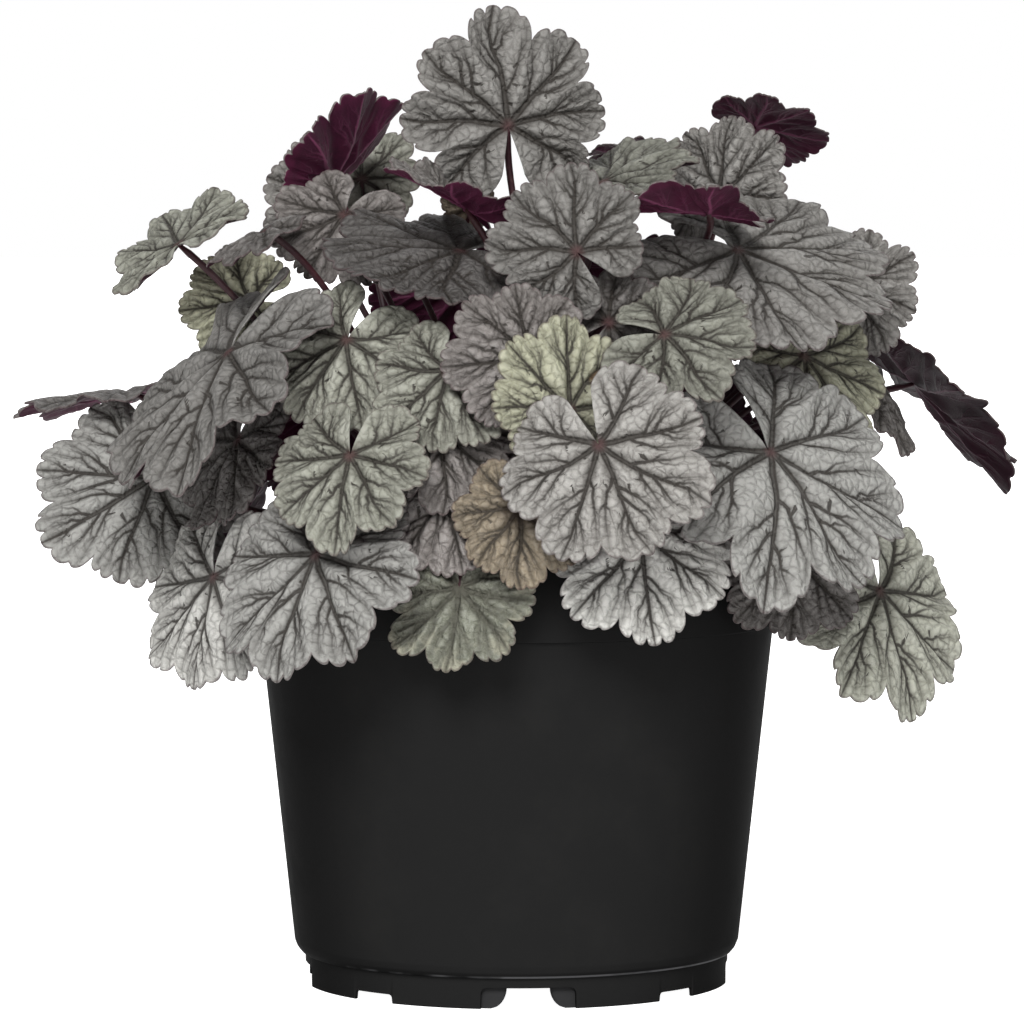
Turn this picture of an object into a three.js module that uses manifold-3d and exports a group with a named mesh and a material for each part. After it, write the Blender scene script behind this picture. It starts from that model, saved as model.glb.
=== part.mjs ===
// A heuchera (coral bells) growing in a black nursery pot.
// Millimetres, +Z up. The origin is on the ground, below the middle of the whole plant's box.
import * as THREE from "three";
import { mergeVertices } from "three/addons/utils/BufferGeometryUtils.js";
import Module from "manifold-3d";

const wasm = await Module();
wasm.setup();

// ---- Pot ----
const POT_SIDES = 40;
const POT_HEIGHT = 157;
const POT_AXIS = [1.1, 4]; // the leaves reach a little further left and forward than right and back
const RIM_RADIUS = 95;
const RIM_BAND = 26; // height of the thicker band below the lip
const BODY_TOP_RADIUS = 93.4;
const BODY_FOOT_RADIUS = 80.2;
const FOOT_RADIUS = 77;
const FOOT_HEIGHT = 11;
const SHOULDER = [2.2, 4.5]; // the bevel from the wall down to the foot ring, as [width, height]
const WALL = 1.5;
const FLOOR_TOP = FOOT_HEIGHT + WALL;
const LIP_WIDTH = 1.8;
const LIP_CHAMFER = 1;
const WIDE_NOTCHES = 4;
const WIDE_NOTCH = { width: 34, height: 7.5 };
const NARROW_NOTCH = { width: 18, height: 3.2 };
const NOTCH_CORNER = 3;
const NOTCH_DEPTH = 12; // how far a notch's cutter reaches through the foot ring
const NOTCH_TURN = 3.2; // degrees that the notches are turned from the plant's front
const DRAIN_HOLES = 8;
const DRAIN_RADIUS = 5;
const DRAIN_SIDES = 10;
const DRAIN_RING = 56; // distance of the drain holes from the pot's axis

// ---- Soil and crown ----
const GAP = 0.35; // left between pieces that touch
const SOIL_Z = 149;
const SOIL_FLAT_RADIUS = 60; // the soil's level middle, which dips towards the wall
const SOIL_DIP = 2;
const CROWN_RADIUS = 27;
const CROWN_BASE_Z = 124;
const CROWN_CENTRE_Z = 150; // the dome's centre, level with the soil
const CROWN_SIDES = 20;
const CROWN_RINGS = 5;
const CROWN_SITES = 84; // places for petioles on the crown, more than there are leaves
const LOWEST_SITE = 0.06; // sine of the lowest site's height on the dome
const GOLDEN_ANGLE = Math.PI * (3 - Math.sqrt(5));

// ---- Leaves ----
const BLADE_THICKNESS = 0.9;
const PETIOLE_RADIUS = 1.4;
const PETIOLE_STEPS = 5;
const PETIOLE_START = 0.35; // how long it runs straight off the crown, as a fraction of its reach
const PETIOLE_END = 0.3; // how long it runs straight up to its blade
const LEAST_UPWARD = 0.5; // how squarely at least it meets the blade's underside
const LEAST_ALONG = 0.4; // how nearly at least it meets the blade along the midrib
const LOBE_ANGLES = [-130, -85, -42, 0, 42, 85, 130]; // degrees from the midrib
const LOBE_LENGTHS = [0.76, 0.89, 0.98, 1, 0.98, 0.89, 0.76]; // as fractions of the leaf's size
const SINUS_ANGLES = [-167, -107, -63, -21, 21, 63, 107, 167];
const SINUS_LENGTHS = [0.52, 0.72, 0.81, 0.86, 0.86, 0.81, 0.72, 0.52];
const LOBE_ROUNDNESS = 3;
const LOBE_SCATTER = 0.04; // how much longer or shorter single lobes are than those above
const LOBE_TURN = 3; // how far single lobes turn aside, in degrees
const LARGE_LEAF = 40; // leaves of this size and over have toothed lobes, smaller ones plain lobes
const TEETH = 3; // rounded teeth along each lobe
const TOOTH_DEPTH = 0.06;
const INNER_RING = 0.5; // where the blade's inner ring of vertices runs, as a fraction of its radius
const RUFFLE = 0.045; // how far each lobe arches, as a fraction of the leaf's size
const WARP = 0.03;

// Each leaf: its name, the side of the plant that it is placed from in degrees (0 is the front),
// the point where its petiole meets its blade as [across, outwards, up], the clock angle of its tip
// seen from that side, how far its tip leans outwards and how far it rolls about its midrib, in
// degrees, its size from that point to the tip, how strongly it bends along and across the
// midrib, its tone, and how far its petiole bows [across, outwards, up].
const LEAVES = [
  ["leaf_top", 0, [-3, 6, 311], -5, -5, 12, 43, 0.1, 0.1, "silver", [0, 0, 0]],
  ["leaf_top_right", 0, [31, 2.5, 291], 68, 12, -70, 35, 0.2, 0.0, "green", [0, 0, 0]],
  ["leaf_upper_centre", 0, [21, 83, 267], -45, -4, 5, 32, 0.3, 0.2, "silver", [0, 0, 0]],
  ["leaf_upper_left", 0, [-20, 48, 267], -86, 5, 69, 50, 0.1, 0.15, "dark", [0, 0, 0]],
  ["leaf_upper_fold", 0, [-17.5, 46, 282.2], -55, 33, 98, 34, 0.2, -0.7, "dark", [19, 19, 0]],
  ["leaf_upper_tan", 0, [-17, 4, 281], 10, 0, 30, 13, 0.3, 0.2, "tan", [0, 0, 0]],
  ["leaf_purple_left", 0, [-68, -28, 290], 38, -8, -105, 41, 0.1, -0.8, "dark", [0, 0, 0]],
  ["leaf_behind_purple_left", 0, [-67, -74, 280], -25, -10, 10, 31, 0.2, 0.2, "silver", [-16, 8, 0]],
  ["leaf_small_grey_left", 0, [-58, -70, 291], 45, -15, -20, 24, 0.2, 0.2, "green", [-8, 8, 0]],
  ["leaf_grey_pink_left", 0, [-62, 9, 279], -150, 28, 15, 29, 0.3, 0.2, "pink", [0, 0, 0]],
  ["leaf_left_outlier", 0, [-122.5, 5, 268.5], -34, -72, 0, 33, -0.25, 0.2, "green", [0, 0, 6]],
  ["leaf_left_edge_on", 0, [-90, 30, 274], -116, 5, 84, 24, 0.2, 0.3, "dark", [0, 0, 10]],
  ["leaf_left_yellow", 0, [-97, -14, 247], -98, 5, 15, 26, 0.2, 0.2, "yellow", [0, 0, 0]],
  ["leaf_left_drooping", 0, [-102.5, 50, 231], -134, 5, 70, 62, 0.1, 0.3, "silver", [0, -8, 0]],
  ["leaf_left_strip", 0, [-142, -42, 213], -97, -4, 96, 46, 0.1, 0.1, "dark", [0, 0, 0]],
  ["leaf_far_left", 0, [-131, 4, 184], -120, 14, 28, 46, 0.2, 0.2, "light", [0, 0, 0]],
  ["leaf_left_striped", 0, [-100, 34, 199], -150, 8, 62, 36, 0.1, 0.2, "dark", [0, 0, 0]],
  ["leaf_low_left", 0, [-108, 50, 151], -165, 12, 52, 42, 0.2, 0.2, "light", [0, 0, 16]],
  ["leaf_front_left", 0, [-70, 92, 162], -158, 22, 42, 47, 0.25, 0.2, "light", [0, 0, 6]],
  ["leaf_mid_left", 0, [-58, 98, 197], -163, 28, 28, 34, 0.3, 0.2, "green", [-8, 0, 0]],
  ["leaf_left_round", 0, [-60, 66, 236], -144, 16, 34, 34, 0.3, 0.2, "green", [0, 0, 0]],
  ["leaf_centre_left", 0, [-24, 88, 226], -165, 24, 18, 31, 0.3, 0.2, "green", [0, 0, 0]],
  ["leaf_centre_hidden", 0, [5, 97, 231], -95, 5, 10, 31, 0.2, 0.2, "pink", [0, 0, 0]],
  ["leaf_centre_yellow", 0, [18.5, 104.5, 212.7], -3, -10, 23, 33, 0.1, 0.1, "yellow", [0, 0, 0]],
  ["leaf_centre_front", 0, [28, 126, 202], 158, 20, 5, 42, 0.42, 0.2, "silver", [-8, -8, -10]],
  ["leaf_centre_right", 0, [51, 97, 239], 92, 16, -45, 33, 0.2, 0.2, "green", [0, 0, 0]],
  ["leaf_small_dark", 0, [32, 76.5, 242], 50, -2, -10, 21, 0.2, 0.2, "dark", [-18, 0, 0]],
  ["leaf_right_top", 0, [79, 36, 267], 110, 14, -54, 58, 0.15, 0.25, "silver", [8, -2, 0]],
  ["leaf_right_behind", 0, [121, -11, 251.5], 105, 9, -10, 27, 0.2, 0.2, "silver", [0, 0, 0]],
  ["leaf_right_tinted", 0, [103, 32, 229], 140, 10, -45, 37, 0.2, 0.2, "yellow", [0, 0, 0]],
  ["leaf_right_narrow", 0, [130, -6, 219.5], 150, 9, -76, 30, 0.2, 0.2, "dark", [0, 0, 17]],
  ["leaf_purple_right", 0, [147.5, -44, 216], 135, -4, -99, 54, 0.1, -0.3, "dark", [-16, 23, 6]],
  ["leaf_right_large", 0, [89, 78, 197], 141, 14, -44, 59, 0.2, 0.2, "light", [0, 0, 0]],
  ["leaf_front_low", 0, [43, 104, 172], 172, 12, -10, 40, 0.2, 0.2, "light", [0, 0, 6]],
  ["leaf_tan", 0, [1.7, 109.6, 180], 180, 14, 10, 28, 0.3, 0.3, "tan", [9, 0, -4]],
  ["leaf_centre_pink", 0, [-24, 90, 187], 175, 28, 12, 35, 0.2, 0.2, "pink", [0, 0, -6]],
  ["leaf_dark_green", 0, [-20, 100, 151], -170, 20, 24, 31, 0.1, 0.1, "moss", [0, 8, 30]],
  ["leaf_centre_behind", 0, [-25.4, 88.9, 207], 180, 24, 5, 31, 0.25, 0.2, "pink", [0, 0, 0]],
  ["leaf_right_low", 0, [131, 25, 144], 160, 10, -48, 47, 0.2, 0.2, "green", [0, 0, 20]],
  ["leaf_right_shaded", 0, [98, 60, 160], 178, 10, -15, 32, 0.2, 0.2, "dark", [0, 0, 8]],
  ["leaf_right_upper_grey", 0, [74, -18, 285], 8, -8, -31, 31, 0.2, 0.2, "silver", [0, 0, 0]],
  ["leaf_purple_top_right", 0, [88, -45, 311], 98, 0, -125, 27, 0.1, 0.2, "dark", [0, 0, 0]],
  ["leaf_purple_shaded", 0, [40, -45.5, 301.5], 85, 0, -106, 22, 0.2, 0.2, "dark", [0, 0, 0]],
  ["leaf_purple_band", 0, [67.8, 55, 280.6], -82, 5, 95, 36, 0.2, -0.6, "dark", [0, -36, 24]],
  ["leaf_right_side_low", 110, [0, 106, 164], 172, 16, 0, 42, 0.2, 0.2, "light", [0, 0, 6]],
  ["leaf_back_right_low", 150, [0, 101, 164], -170, 15, -10, 44, 0.2, 0.2, "silver", [0, 0, 6]],
  ["leaf_back_low", 180, [0, 110, 163], 175, 14, 10, 48, 0.2, 0.2, "light", [0, 0, 6]],
  ["leaf_back_left_low", -147, [0, 101, 164], -172, 15, 0, 45, 0.2, 0.2, "silver", [0, 0, 6]],
  ["leaf_left_side_low", -112, [0, 114, 163.5], 170, 16, -10, 44, 0.2, 0.2, "light", [0, 0, 6]],
  ["leaf_right_side", 104, [0, 113, 195], 165, 22, -15, 45, 0.2, 0.2, "silver", [0, 0, 0]],
  ["leaf_back_right", 141, [0, 97, 208], -168, 29, 10, 48, 0.2, 0.2, "green", [0, 0, 0]],
  ["leaf_back", -172, [0, 110, 206], 172, 26, -5, 50, 0.2, 0.2, "silver", [0, 0, 0]],
  ["leaf_back_left", -135, [0, 91, 210], -171, 25, 10, 47, 0.2, 0.2, "pink", [0, 0, 0]],
  ["leaf_back_right_high", 142, [0, 80, 252], 170, 35, -10, 46, 0.2, 0.2, "silver", [0, 0, 0]],
  ["leaf_back_left_high", -165, [0, 73, 252], -172, 35, 10, 42, 0.2, 0.2, "green", [0, 0, 0]],
];

// Leaves that are cut more deeply between their lobes than the others, and by how much of their size.
const DEEPLY_LOBED = {
  leaf_top: 0.06,
  leaf_right_large: 0.06,
  leaf_right_low: 0.06,
  leaf_dark_green: 0.06,
  leaf_left_striped: 0.06,
};

const radians = THREE.MathUtils.degToRad;

// The materials: one for each leaf tone, and those of the pot, the soil and the crown.
const TONES = {
  silver: 0x9c9c96,
  light: 0xb9bab4,
  dark: 0x6c6d68,
  green: 0x9aa08c,
  yellow: 0xa8ab84,
  pink: 0x8c8585,
  tan: 0xa1916f,
  moss: 0x56604e,
};
const leafMaterials = Object.fromEntries(
  Object.entries(TONES).map(([tone, color]) => [
    tone,
    new THREE.MeshStandardMaterial({ color, roughness: 0.6, metalness: 0, side: THREE.DoubleSide }),
  ]),
);
const plastic = new THREE.MeshStandardMaterial({ color: 0x1e1e1e, roughness: 0.45, metalness: 0 });
const peat = new THREE.MeshStandardMaterial({ color: 0x2a1e16, roughness: 1, metalness: 0 });
const bark = new THREE.MeshStandardMaterial({ color: 0x4a2b2a, roughness: 0.9, metalness: 0 });

// ---- Solids ----

// A closed three.js geometry as a solid that can be joined and cut.
function toSolid(geometry) {
  const bare = new THREE.BufferGeometry();
  bare.setAttribute("position", geometry.getAttribute("position"));
  if (geometry.index) bare.setIndex(geometry.index);
  const merged = mergeVertices(bare, 1e-4);
  return new wasm.Manifold(
    new wasm.Mesh({
      numProp: 3,
      vertProperties: new Float32Array(merged.attributes.position.array),
      triVerts: new Uint32Array(merged.index.array),
    }),
  );
}

function toGeometry(solid) {
  const { vertProperties, triVerts } = solid.getMesh();
  const geometry = new THREE.BufferGeometry();
  geometry.setAttribute("position", new THREE.BufferAttribute(vertProperties, 3));
  geometry.setIndex(new THREE.BufferAttribute(triVerts, 1));
  geometry.computeVertexNormals();
  return geometry;
}

function named(name, geometry, material) {
  const mesh = new THREE.Mesh(geometry, material);
  mesh.name = name;
  return mesh;
}

// A solid of revolution about +Z, from [radius, height] pairs.
function turned(points, sides) {
  const profile = points.map(([r, z]) => new THREE.Vector2(r, z));
  return new THREE.LatheGeometry(profile, sides).rotateX(Math.PI / 2);
}

// ---- Pot ----

// Radius of the pot's tapered wall at a height, on its outside.
function wallRadius(z) {
  const t = (z - FOOT_HEIGHT) / (POT_HEIGHT - RIM_BAND - FOOT_HEIGHT);
  return THREE.MathUtils.lerp(BODY_FOOT_RADIUS, BODY_TOP_RADIUS, t);
}

function potBody() {
  const bandZ = POT_HEIGHT - RIM_BAND;
  const points = [
    [0, FOOT_HEIGHT],
    [FOOT_RADIUS - WALL, FOOT_HEIGHT],
    [FOOT_RADIUS - WALL, 0],
    [FOOT_RADIUS, 0],
    [FOOT_RADIUS, FOOT_HEIGHT],
    [BODY_FOOT_RADIUS - SHOULDER[0], FOOT_HEIGHT],
    [wallRadius(FOOT_HEIGHT + SHOULDER[1]), FOOT_HEIGHT + SHOULDER[1]],
    [BODY_TOP_RADIUS, bandZ],
    [RIM_RADIUS, bandZ],
    [RIM_RADIUS, POT_HEIGHT - LIP_CHAMFER],
    [RIM_RADIUS - LIP_CHAMFER, POT_HEIGHT],
    [RIM_RADIUS - LIP_WIDTH, POT_HEIGHT],
    [BODY_TOP_RADIUS - WALL, bandZ],
    [wallRadius(FLOOR_TOP + SHOULDER[1]) - WALL, FLOOR_TOP + SHOULDER[1]],
    [BODY_FOOT_RADIUS - SHOULDER[0] - WALL, FLOOR_TOP],
    [0, FLOOR_TOP],
  ];
  return toSolid(turned(points, POT_SIDES));
}

// A drain notch: a block with its upper corners cut off, across the foot ring at +X.
function notch({ width, height }) {
  const corner = Math.min(NOTCH_CORNER, height / 2);
  const outline = new THREE.Shape();
  outline.moveTo(-width / 2, -1);
  outline.lineTo(width / 2, -1);
  outline.lineTo(width / 2, height - corner);
  outline.lineTo(width / 2 - corner, height);
  outline.lineTo(-width / 2 + corner, height);
  outline.lineTo(-width / 2, height - corner);
  const block = new THREE.ExtrudeGeometry(outline, { depth: NOTCH_DEPTH, bevelEnabled: false });
  block.rotateX(Math.PI / 2).rotateZ(Math.PI / 2);
  return block.translate(FOOT_RADIUS - (2 * NOTCH_DEPTH) / 3, 0, 0);
}

function makePot() {
  let pot = potBody();
  for (let i = 0; i < WIDE_NOTCHES; i++) {
    const turn = (i * 2 * Math.PI) / WIDE_NOTCHES - Math.PI / 2 + radians(NOTCH_TURN);
    pot = pot.subtract(toSolid(notch(WIDE_NOTCH).rotateZ(turn)));
    pot = pot.subtract(toSolid(notch(NARROW_NOTCH).rotateZ(turn + Math.PI / WIDE_NOTCHES)));
  }
  for (let i = 0; i < DRAIN_HOLES; i++) {
    const angle = ((i + 0.5) * 2 * Math.PI) / DRAIN_HOLES;
    const hole = new THREE.CylinderGeometry(DRAIN_RADIUS, DRAIN_RADIUS, 4 * WALL, DRAIN_SIDES);
    hole.rotateX(Math.PI / 2);
    hole.translate(DRAIN_RING * Math.cos(angle), DRAIN_RING * Math.sin(angle), FLOOR_TOP);
    pot = pot.subtract(toSolid(hole));
  }
  return named("pot", toGeometry(pot), plastic);
}

// ---- Soil ----

// The soil fills the pot and holds the crown in a plain round hole.
function makeSoil() {
  const bottom = FLOOR_TOP + GAP;
  const inside = (z) => wallRadius(z) - WALL - GAP;
  const points = [
    [0, bottom],
    [BODY_FOOT_RADIUS - SHOULDER[0] - WALL - GAP, bottom],
    [inside(bottom + SHOULDER[1]), bottom + SHOULDER[1]],
    [inside(POT_HEIGHT - RIM_BAND), POT_HEIGHT - RIM_BAND],
    [inside(POT_HEIGHT - RIM_BAND), SOIL_Z - SOIL_DIP],
    [SOIL_FLAT_RADIUS, SOIL_Z],
    [CROWN_RADIUS + GAP, SOIL_Z],
    [CROWN_RADIUS + GAP, CROWN_BASE_Z - GAP],
    [0, CROWN_BASE_Z - GAP],
  ];
  return named("soil", turned(points, POT_SIDES), peat);
}

// ---- Crown ----

// Places for petioles on the crown's dome, spread evenly by the golden angle from its top down.
function crownSites() {
  return Array.from({ length: CROWN_SITES }, (_, i) => {
    const up = 1 - ((i + 0.5) / CROWN_SITES) * (1 - LOWEST_SITE);
    const around = i * GOLDEN_ANGLE;
    const out = Math.sqrt(1 - up * up);
    return new THREE.Vector3(out * Math.cos(around), out * Math.sin(around), up);
  });
}

const crownCentre = new THREE.Vector3(0, 0, CROWN_CENTRE_Z);

// The crown: a short woody stock with a domed top, which the petioles stand on.
function makeCrown() {
  const points = [
    [0, CROWN_BASE_Z],
    [CROWN_RADIUS, CROWN_BASE_Z],
  ];
  for (let i = 0; i <= CROWN_RINGS; i++) {
    const angle = (i / CROWN_RINGS) * (Math.PI / 2);
    points.push([CROWN_RADIUS * Math.cos(angle), CROWN_CENTRE_Z + CROWN_RADIUS * Math.sin(angle)]);
  }
  points[points.length - 1][0] = 0;
  return named("crown", turned(points, CROWN_SIDES), bark);
}

// ---- Leaves ----

// The leaf's own axes: across the blade, along the midrib, and out of its upper face.
function leafAxes([, side, , clock, lean, roll]) {
  const a = radians(side);
  const right = new THREE.Vector3(Math.cos(a), Math.sin(a), 0);
  const outward = new THREE.Vector3(Math.sin(a), -Math.cos(a), 0);
  const up = new THREE.Vector3(0, 0, 1);
  const c = radians(clock);
  const l = radians(lean);
  const flat = right.clone().multiplyScalar(Math.sin(c)).addScaledVector(up, Math.cos(c));
  const midrib = flat.clone().multiplyScalar(Math.cos(l)).addScaledVector(outward, Math.sin(l));
  const facing = outward.clone().multiplyScalar(Math.cos(l)).addScaledVector(flat, -Math.sin(l));
  const normal = facing.applyAxisAngle(midrib, radians(roll));
  const across = midrib.clone().cross(normal);
  return { across, midrib, normal };
}

function leafPoint([, side, [x, out, z]]) {
  const a = radians(side);
  return new THREE.Vector3(
    x * Math.cos(a) + out * Math.sin(a),
    x * Math.sin(a) - out * Math.cos(a),
    z,
  );
}

// Where a lobe's margin runs: t goes from -1 at one sinus through 0 at the lobe's middle to 1.
function marginPoint(lobe, t, teeth, deeper, seed) {
  const sinus = lobe + (t > 0 ? 1 : 0);
  const away = Math.abs(t);
  const lobeAngle = LOBE_ANGLES[lobe] + LOBE_TURN * Math.sin(1.9 * lobe + 2.3 * seed);
  const lobeLength = LOBE_LENGTHS[lobe] * (1 + LOBE_SCATTER * Math.sin(2.4 * lobe + 1.7 * seed));
  const angle = THREE.MathUtils.lerp(lobeAngle, SINUS_ANGLES[sinus], away);
  const fall = Math.pow(away, LOBE_ROUNDNESS);
  const length = THREE.MathUtils.lerp(lobeLength, SINUS_LENGTHS[sinus] - deeper, fall);
  const tooth = ((t + 1) / 2) * teeth;
  const inTooth = 2 * (tooth - Math.floor(tooth)) - 1;
  const notch = away < 1 ? Math.pow(Math.abs(inTooth), 3) : 0;
  return { angle: radians(angle), length: length * (1 - TOOTH_DEPTH * notch) };
}

// Height of the blade above its flat, at a fraction s of the way from the petiole to the margin.
function bladeHeight(u, v, s, lobePosition, size, bend, cup, seed) {
  const droop = -(bend * v * v + cup * u * u) / (2 * size);
  const ruffle = RUFFLE * size * s * s * Math.cos(2 * Math.PI * lobePosition + seed);
  const warp = WARP * size * s * s * Math.sin(0.9 * lobePosition + 2 * seed);
  return droop + ruffle + warp;
}

// The blade's upper face: a fan from the petiole to an inner ring, then out to the margin.
function upperFace(size, bend, cup, deeper, seed) {
  const teeth = size < LARGE_LEAF ? 1 : TEETH;
  const steps = teeth === 1 ? 2 : TEETH; // along each half of a lobe
  const halves = 2 * LOBE_ANGLES.length;
  const points = [new THREE.Vector3()];
  const addPoint = (half, along, s) => {
    const lobe = Math.min(Math.floor(half / 2), LOBE_ANGLES.length - 1);
    const t = half - 2 * lobe - 1 + along / steps;
    const { angle, length } = marginPoint(lobe, t, teeth, deeper, seed);
    const u = size * length * s * Math.sin(angle);
    const v = size * length * s * Math.cos(angle);
    const w = bladeHeight(u, v, s, lobe + (t + 1) / 2, size, bend, cup, seed);
    return points.push(new THREE.Vector3(u, v, w)) - 1;
  };
  const inner = [];
  const outer = [];
  for (let half = 0; half <= halves; half++) inner.push(addPoint(half, 0, INNER_RING));
  for (let i = 0; i <= steps * halves; i++) outer.push(addPoint(Math.floor(i / steps), i % steps, 1));
  const faces = [];
  const middle = Math.ceil(steps / 2);
  for (let half = 0; half < halves; half++) {
    const first = half * steps;
    faces.push([inner[half], inner[half + 1], outer[first + middle]]);
    for (let j = 0; j < steps; j++) {
      const from = j < middle ? inner[half] : inner[half + 1];
      faces.push([from, outer[first + j + 1], outer[first + j]]);
    }
  }
  return { points, inner, outer, faces };
}

// Rings of corners around the petiole, from the blade down to the crown.
function petioleRings(curve) {
  const joint = curve.getPoint(1);
  const side = new THREE.Vector3(1, 0, 0);
  const corners = [[-1, -1], [-1, 1], [1, 1], [1, -1]];
  const half = PETIOLE_RADIUS * Math.SQRT1_2;
  const rings = [corners.map(([a, b]) => new THREE.Vector3(a * half, b * half, 0).add(joint))];
  for (let i = PETIOLE_STEPS - 1; i >= 0; i--) {
    const along = curve.getTangent(i / PETIOLE_STEPS);
    const centre = curve.getPoint(i / PETIOLE_STEPS);
    side.addScaledVector(along, -side.dot(along)).normalize();
    const other = along.clone().cross(side);
    rings.push(corners.map(([a, b]) =>
      centre.clone().addScaledVector(side, a * half).addScaledVector(other, b * half)));
  }
  return rings;
}

// A leaf as one closed surface: both faces of its blade, the rim between them, and the petiole,
// which grows out of the lower face at the bottom of the leaf's sinus.
function leafGeometry(size, bend, cup, deeper, seed, curve) {
  const { points, inner, outer, faces } = upperFace(size, bend, cup, deeper, seed);
  const count = points.length;
  const lower = (i) => count + i;
  const all = [...points, ...points.map((p) => p.clone().setZ(p.z - BLADE_THICKNESS))];
  const rings = petioleRings(curve).map((ring) => ring.map((corner) => all.push(corner) - 1));
  const [top] = rings;
  const index = [];
  for (const [a, b, c] of faces) index.push(a, b, c, lower(a), lower(c), lower(b));
  const last = inner.length - 1;
  const cornerOf = (half) => Math.floor((half + 1) / 4);
  for (let half = 0; half < last; half++) {
    const corner = cornerOf(half);
    index.push(0, inner[half + 1], inner[half]);
    index.push(top[corner], lower(inner[half]), lower(inner[half + 1]));
    if (corner > cornerOf(half - 1)) index.push(lower(inner[half]), top[corner], top[corner - 1]);
  }
  const wall = (p, q, pLower, qLower) => index.push(q, p, pLower, q, pLower, qLower);
  const margin = [inner[0], ...outer, inner[last]];
  for (let i = 1; i < margin.length; i++) {
    wall(margin[i], margin[i - 1], lower(margin[i]), lower(margin[i - 1]));
  }
  wall(inner[0], 0, lower(inner[0]), top[0]);
  wall(0, inner[last], top[3], lower(inner[last]));
  index.push(0, top[0], top[3]);
  for (let i = 1; i < rings.length; i++) {
    const [near, far] = [rings[i - 1], rings[i]];
    for (let k = 0; k < 4; k++) {
      const next = (k + 1) % 4;
      index.push(near[k], near[next], far[next], near[k], far[next], far[k]);
    }
  }
  const [e0, e1, e2, e3] = rings[rings.length - 1];
  index.push(e0, e1, e2, e0, e2, e3);
  const geometry = new THREE.BufferGeometry().setFromPoints(all);
  geometry.setIndex(index);
  geometry.computeVertexNormals();
  return geometry;
}

// The petiole's route, from its place on the crown to the underside of its blade.
function petioleCurve(row, site) {
  const { midrib, normal } = leafAxes(row);
  const bow = row[10];
  const joint = leafPoint(row).addScaledVector(normal, -BLADE_THICKNESS);
  const start = crownCentre.clone().addScaledVector(site, CROWN_RADIUS + GAP);
  const reach = joint.distanceTo(start);
  const arrive = joint.clone().sub(crownCentre).normalize();
  arrive.addScaledVector(normal, Math.max(0, LEAST_UPWARD - arrive.dot(normal)));
  arrive.addScaledVector(midrib, Math.max(0, LEAST_ALONG - arrive.dot(midrib)));
  arrive.normalize();
  const side = radians(row[1]);
  const push = new THREE.Vector3(
    bow[0] * Math.cos(side) + bow[1] * Math.sin(side),
    bow[0] * Math.sin(side) - bow[1] * Math.cos(side),
    bow[2],
  );
  const leave = start.clone().addScaledVector(site, PETIOLE_START * reach);
  leave.addScaledVector(push, 0.5);
  const near = joint.clone().addScaledVector(arrive, -PETIOLE_END * reach).add(push);
  return new THREE.CubicBezierCurve3(start, leave, near, joint);
}

function leafMatrix(row) {
  const { across, midrib, normal } = leafAxes(row);
  return new THREE.Matrix4().makeBasis(across, midrib, normal).setPosition(leafPoint(row));
}

function makeLeaf(row, index, curve) {
  const [name, , , , , , size, bend, cup, tone] = row;
  const matrix = leafMatrix(row);
  const toLeaf = matrix.clone().invert();
  const ends = [curve.v0, curve.v1, curve.v2, curve.v3].map((p) => p.clone().applyMatrix4(toLeaf));
  const deeper = DEEPLY_LOBED[name] ?? 0;
  const petiole = new THREE.CubicBezierCurve3(...ends);
  const geometry = leafGeometry(size, bend, cup, deeper, index, petiole);
  const mesh = named(name, geometry, leafMaterials[tone]);
  mesh.applyMatrix4(matrix);
  return mesh;
}

// Each leaf, from the lowest up, takes the free place on the crown that points most nearly at it.
function takeSites(rows) {
  const free = crownSites();
  const aims = rows.map((row, i) => ({ i, aim: leafPoint(row).sub(crownCentre).normalize() }));
  aims.sort((a, b) => a.aim.z - b.aim.z);
  const taken = [];
  for (const { i, aim } of aims) {
    const best = free.reduce((a, b) => (b.dot(aim) > a.dot(aim) ? b : a));
    free.splice(free.indexOf(best), 1);
    taken[i] = best;
  }
  return taken;
}

// ---- The whole plant ----

const plant = new THREE.Group();
plant.position.set(...POT_AXIS, 0);
plant.add(makePot());
plant.add(makeSoil());
plant.add(makeCrown());
const sites = takeSites(LEAVES);
LEAVES.forEach((row, i) => plant.add(makeLeaf(row, i, petioleCurve(row, sites[i]))));

export default plant;
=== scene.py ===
"""A heuchera growing in a black nursery pot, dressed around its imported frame."""

import math

import bpy
import numpy as np
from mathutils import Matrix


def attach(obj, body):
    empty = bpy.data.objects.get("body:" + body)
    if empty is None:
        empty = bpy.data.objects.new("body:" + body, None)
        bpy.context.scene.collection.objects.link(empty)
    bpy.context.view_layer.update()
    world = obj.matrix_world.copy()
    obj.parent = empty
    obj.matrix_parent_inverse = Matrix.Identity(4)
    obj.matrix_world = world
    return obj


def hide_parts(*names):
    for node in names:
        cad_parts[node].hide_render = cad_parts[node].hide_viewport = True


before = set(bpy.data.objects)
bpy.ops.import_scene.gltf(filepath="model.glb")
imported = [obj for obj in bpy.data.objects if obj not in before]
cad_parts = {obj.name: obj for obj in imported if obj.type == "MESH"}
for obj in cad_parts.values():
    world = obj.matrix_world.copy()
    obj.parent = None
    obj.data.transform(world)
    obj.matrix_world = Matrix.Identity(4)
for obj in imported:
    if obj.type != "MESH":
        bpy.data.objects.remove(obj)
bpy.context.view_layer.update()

bl_info = {
    "name": "Heuchera in a nursery pot",
    "version": (1, 0, 0),
    "blender": (4, 5, 0),
    "location": "View3D > Sidebar > Heuchera",
    "description": "Builds a potted heuchera with veined leaves around its frame",
    "category": "Add Mesh",
}

MM = 0.001  # a millimetre in metres; lengths below are in mm unless their comment says otherwise
TAU = 2 * math.pi
POT_AXIS = np.array([1.1, 4.0, 0.0])  # where the pot's axis stands in the frame

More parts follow.
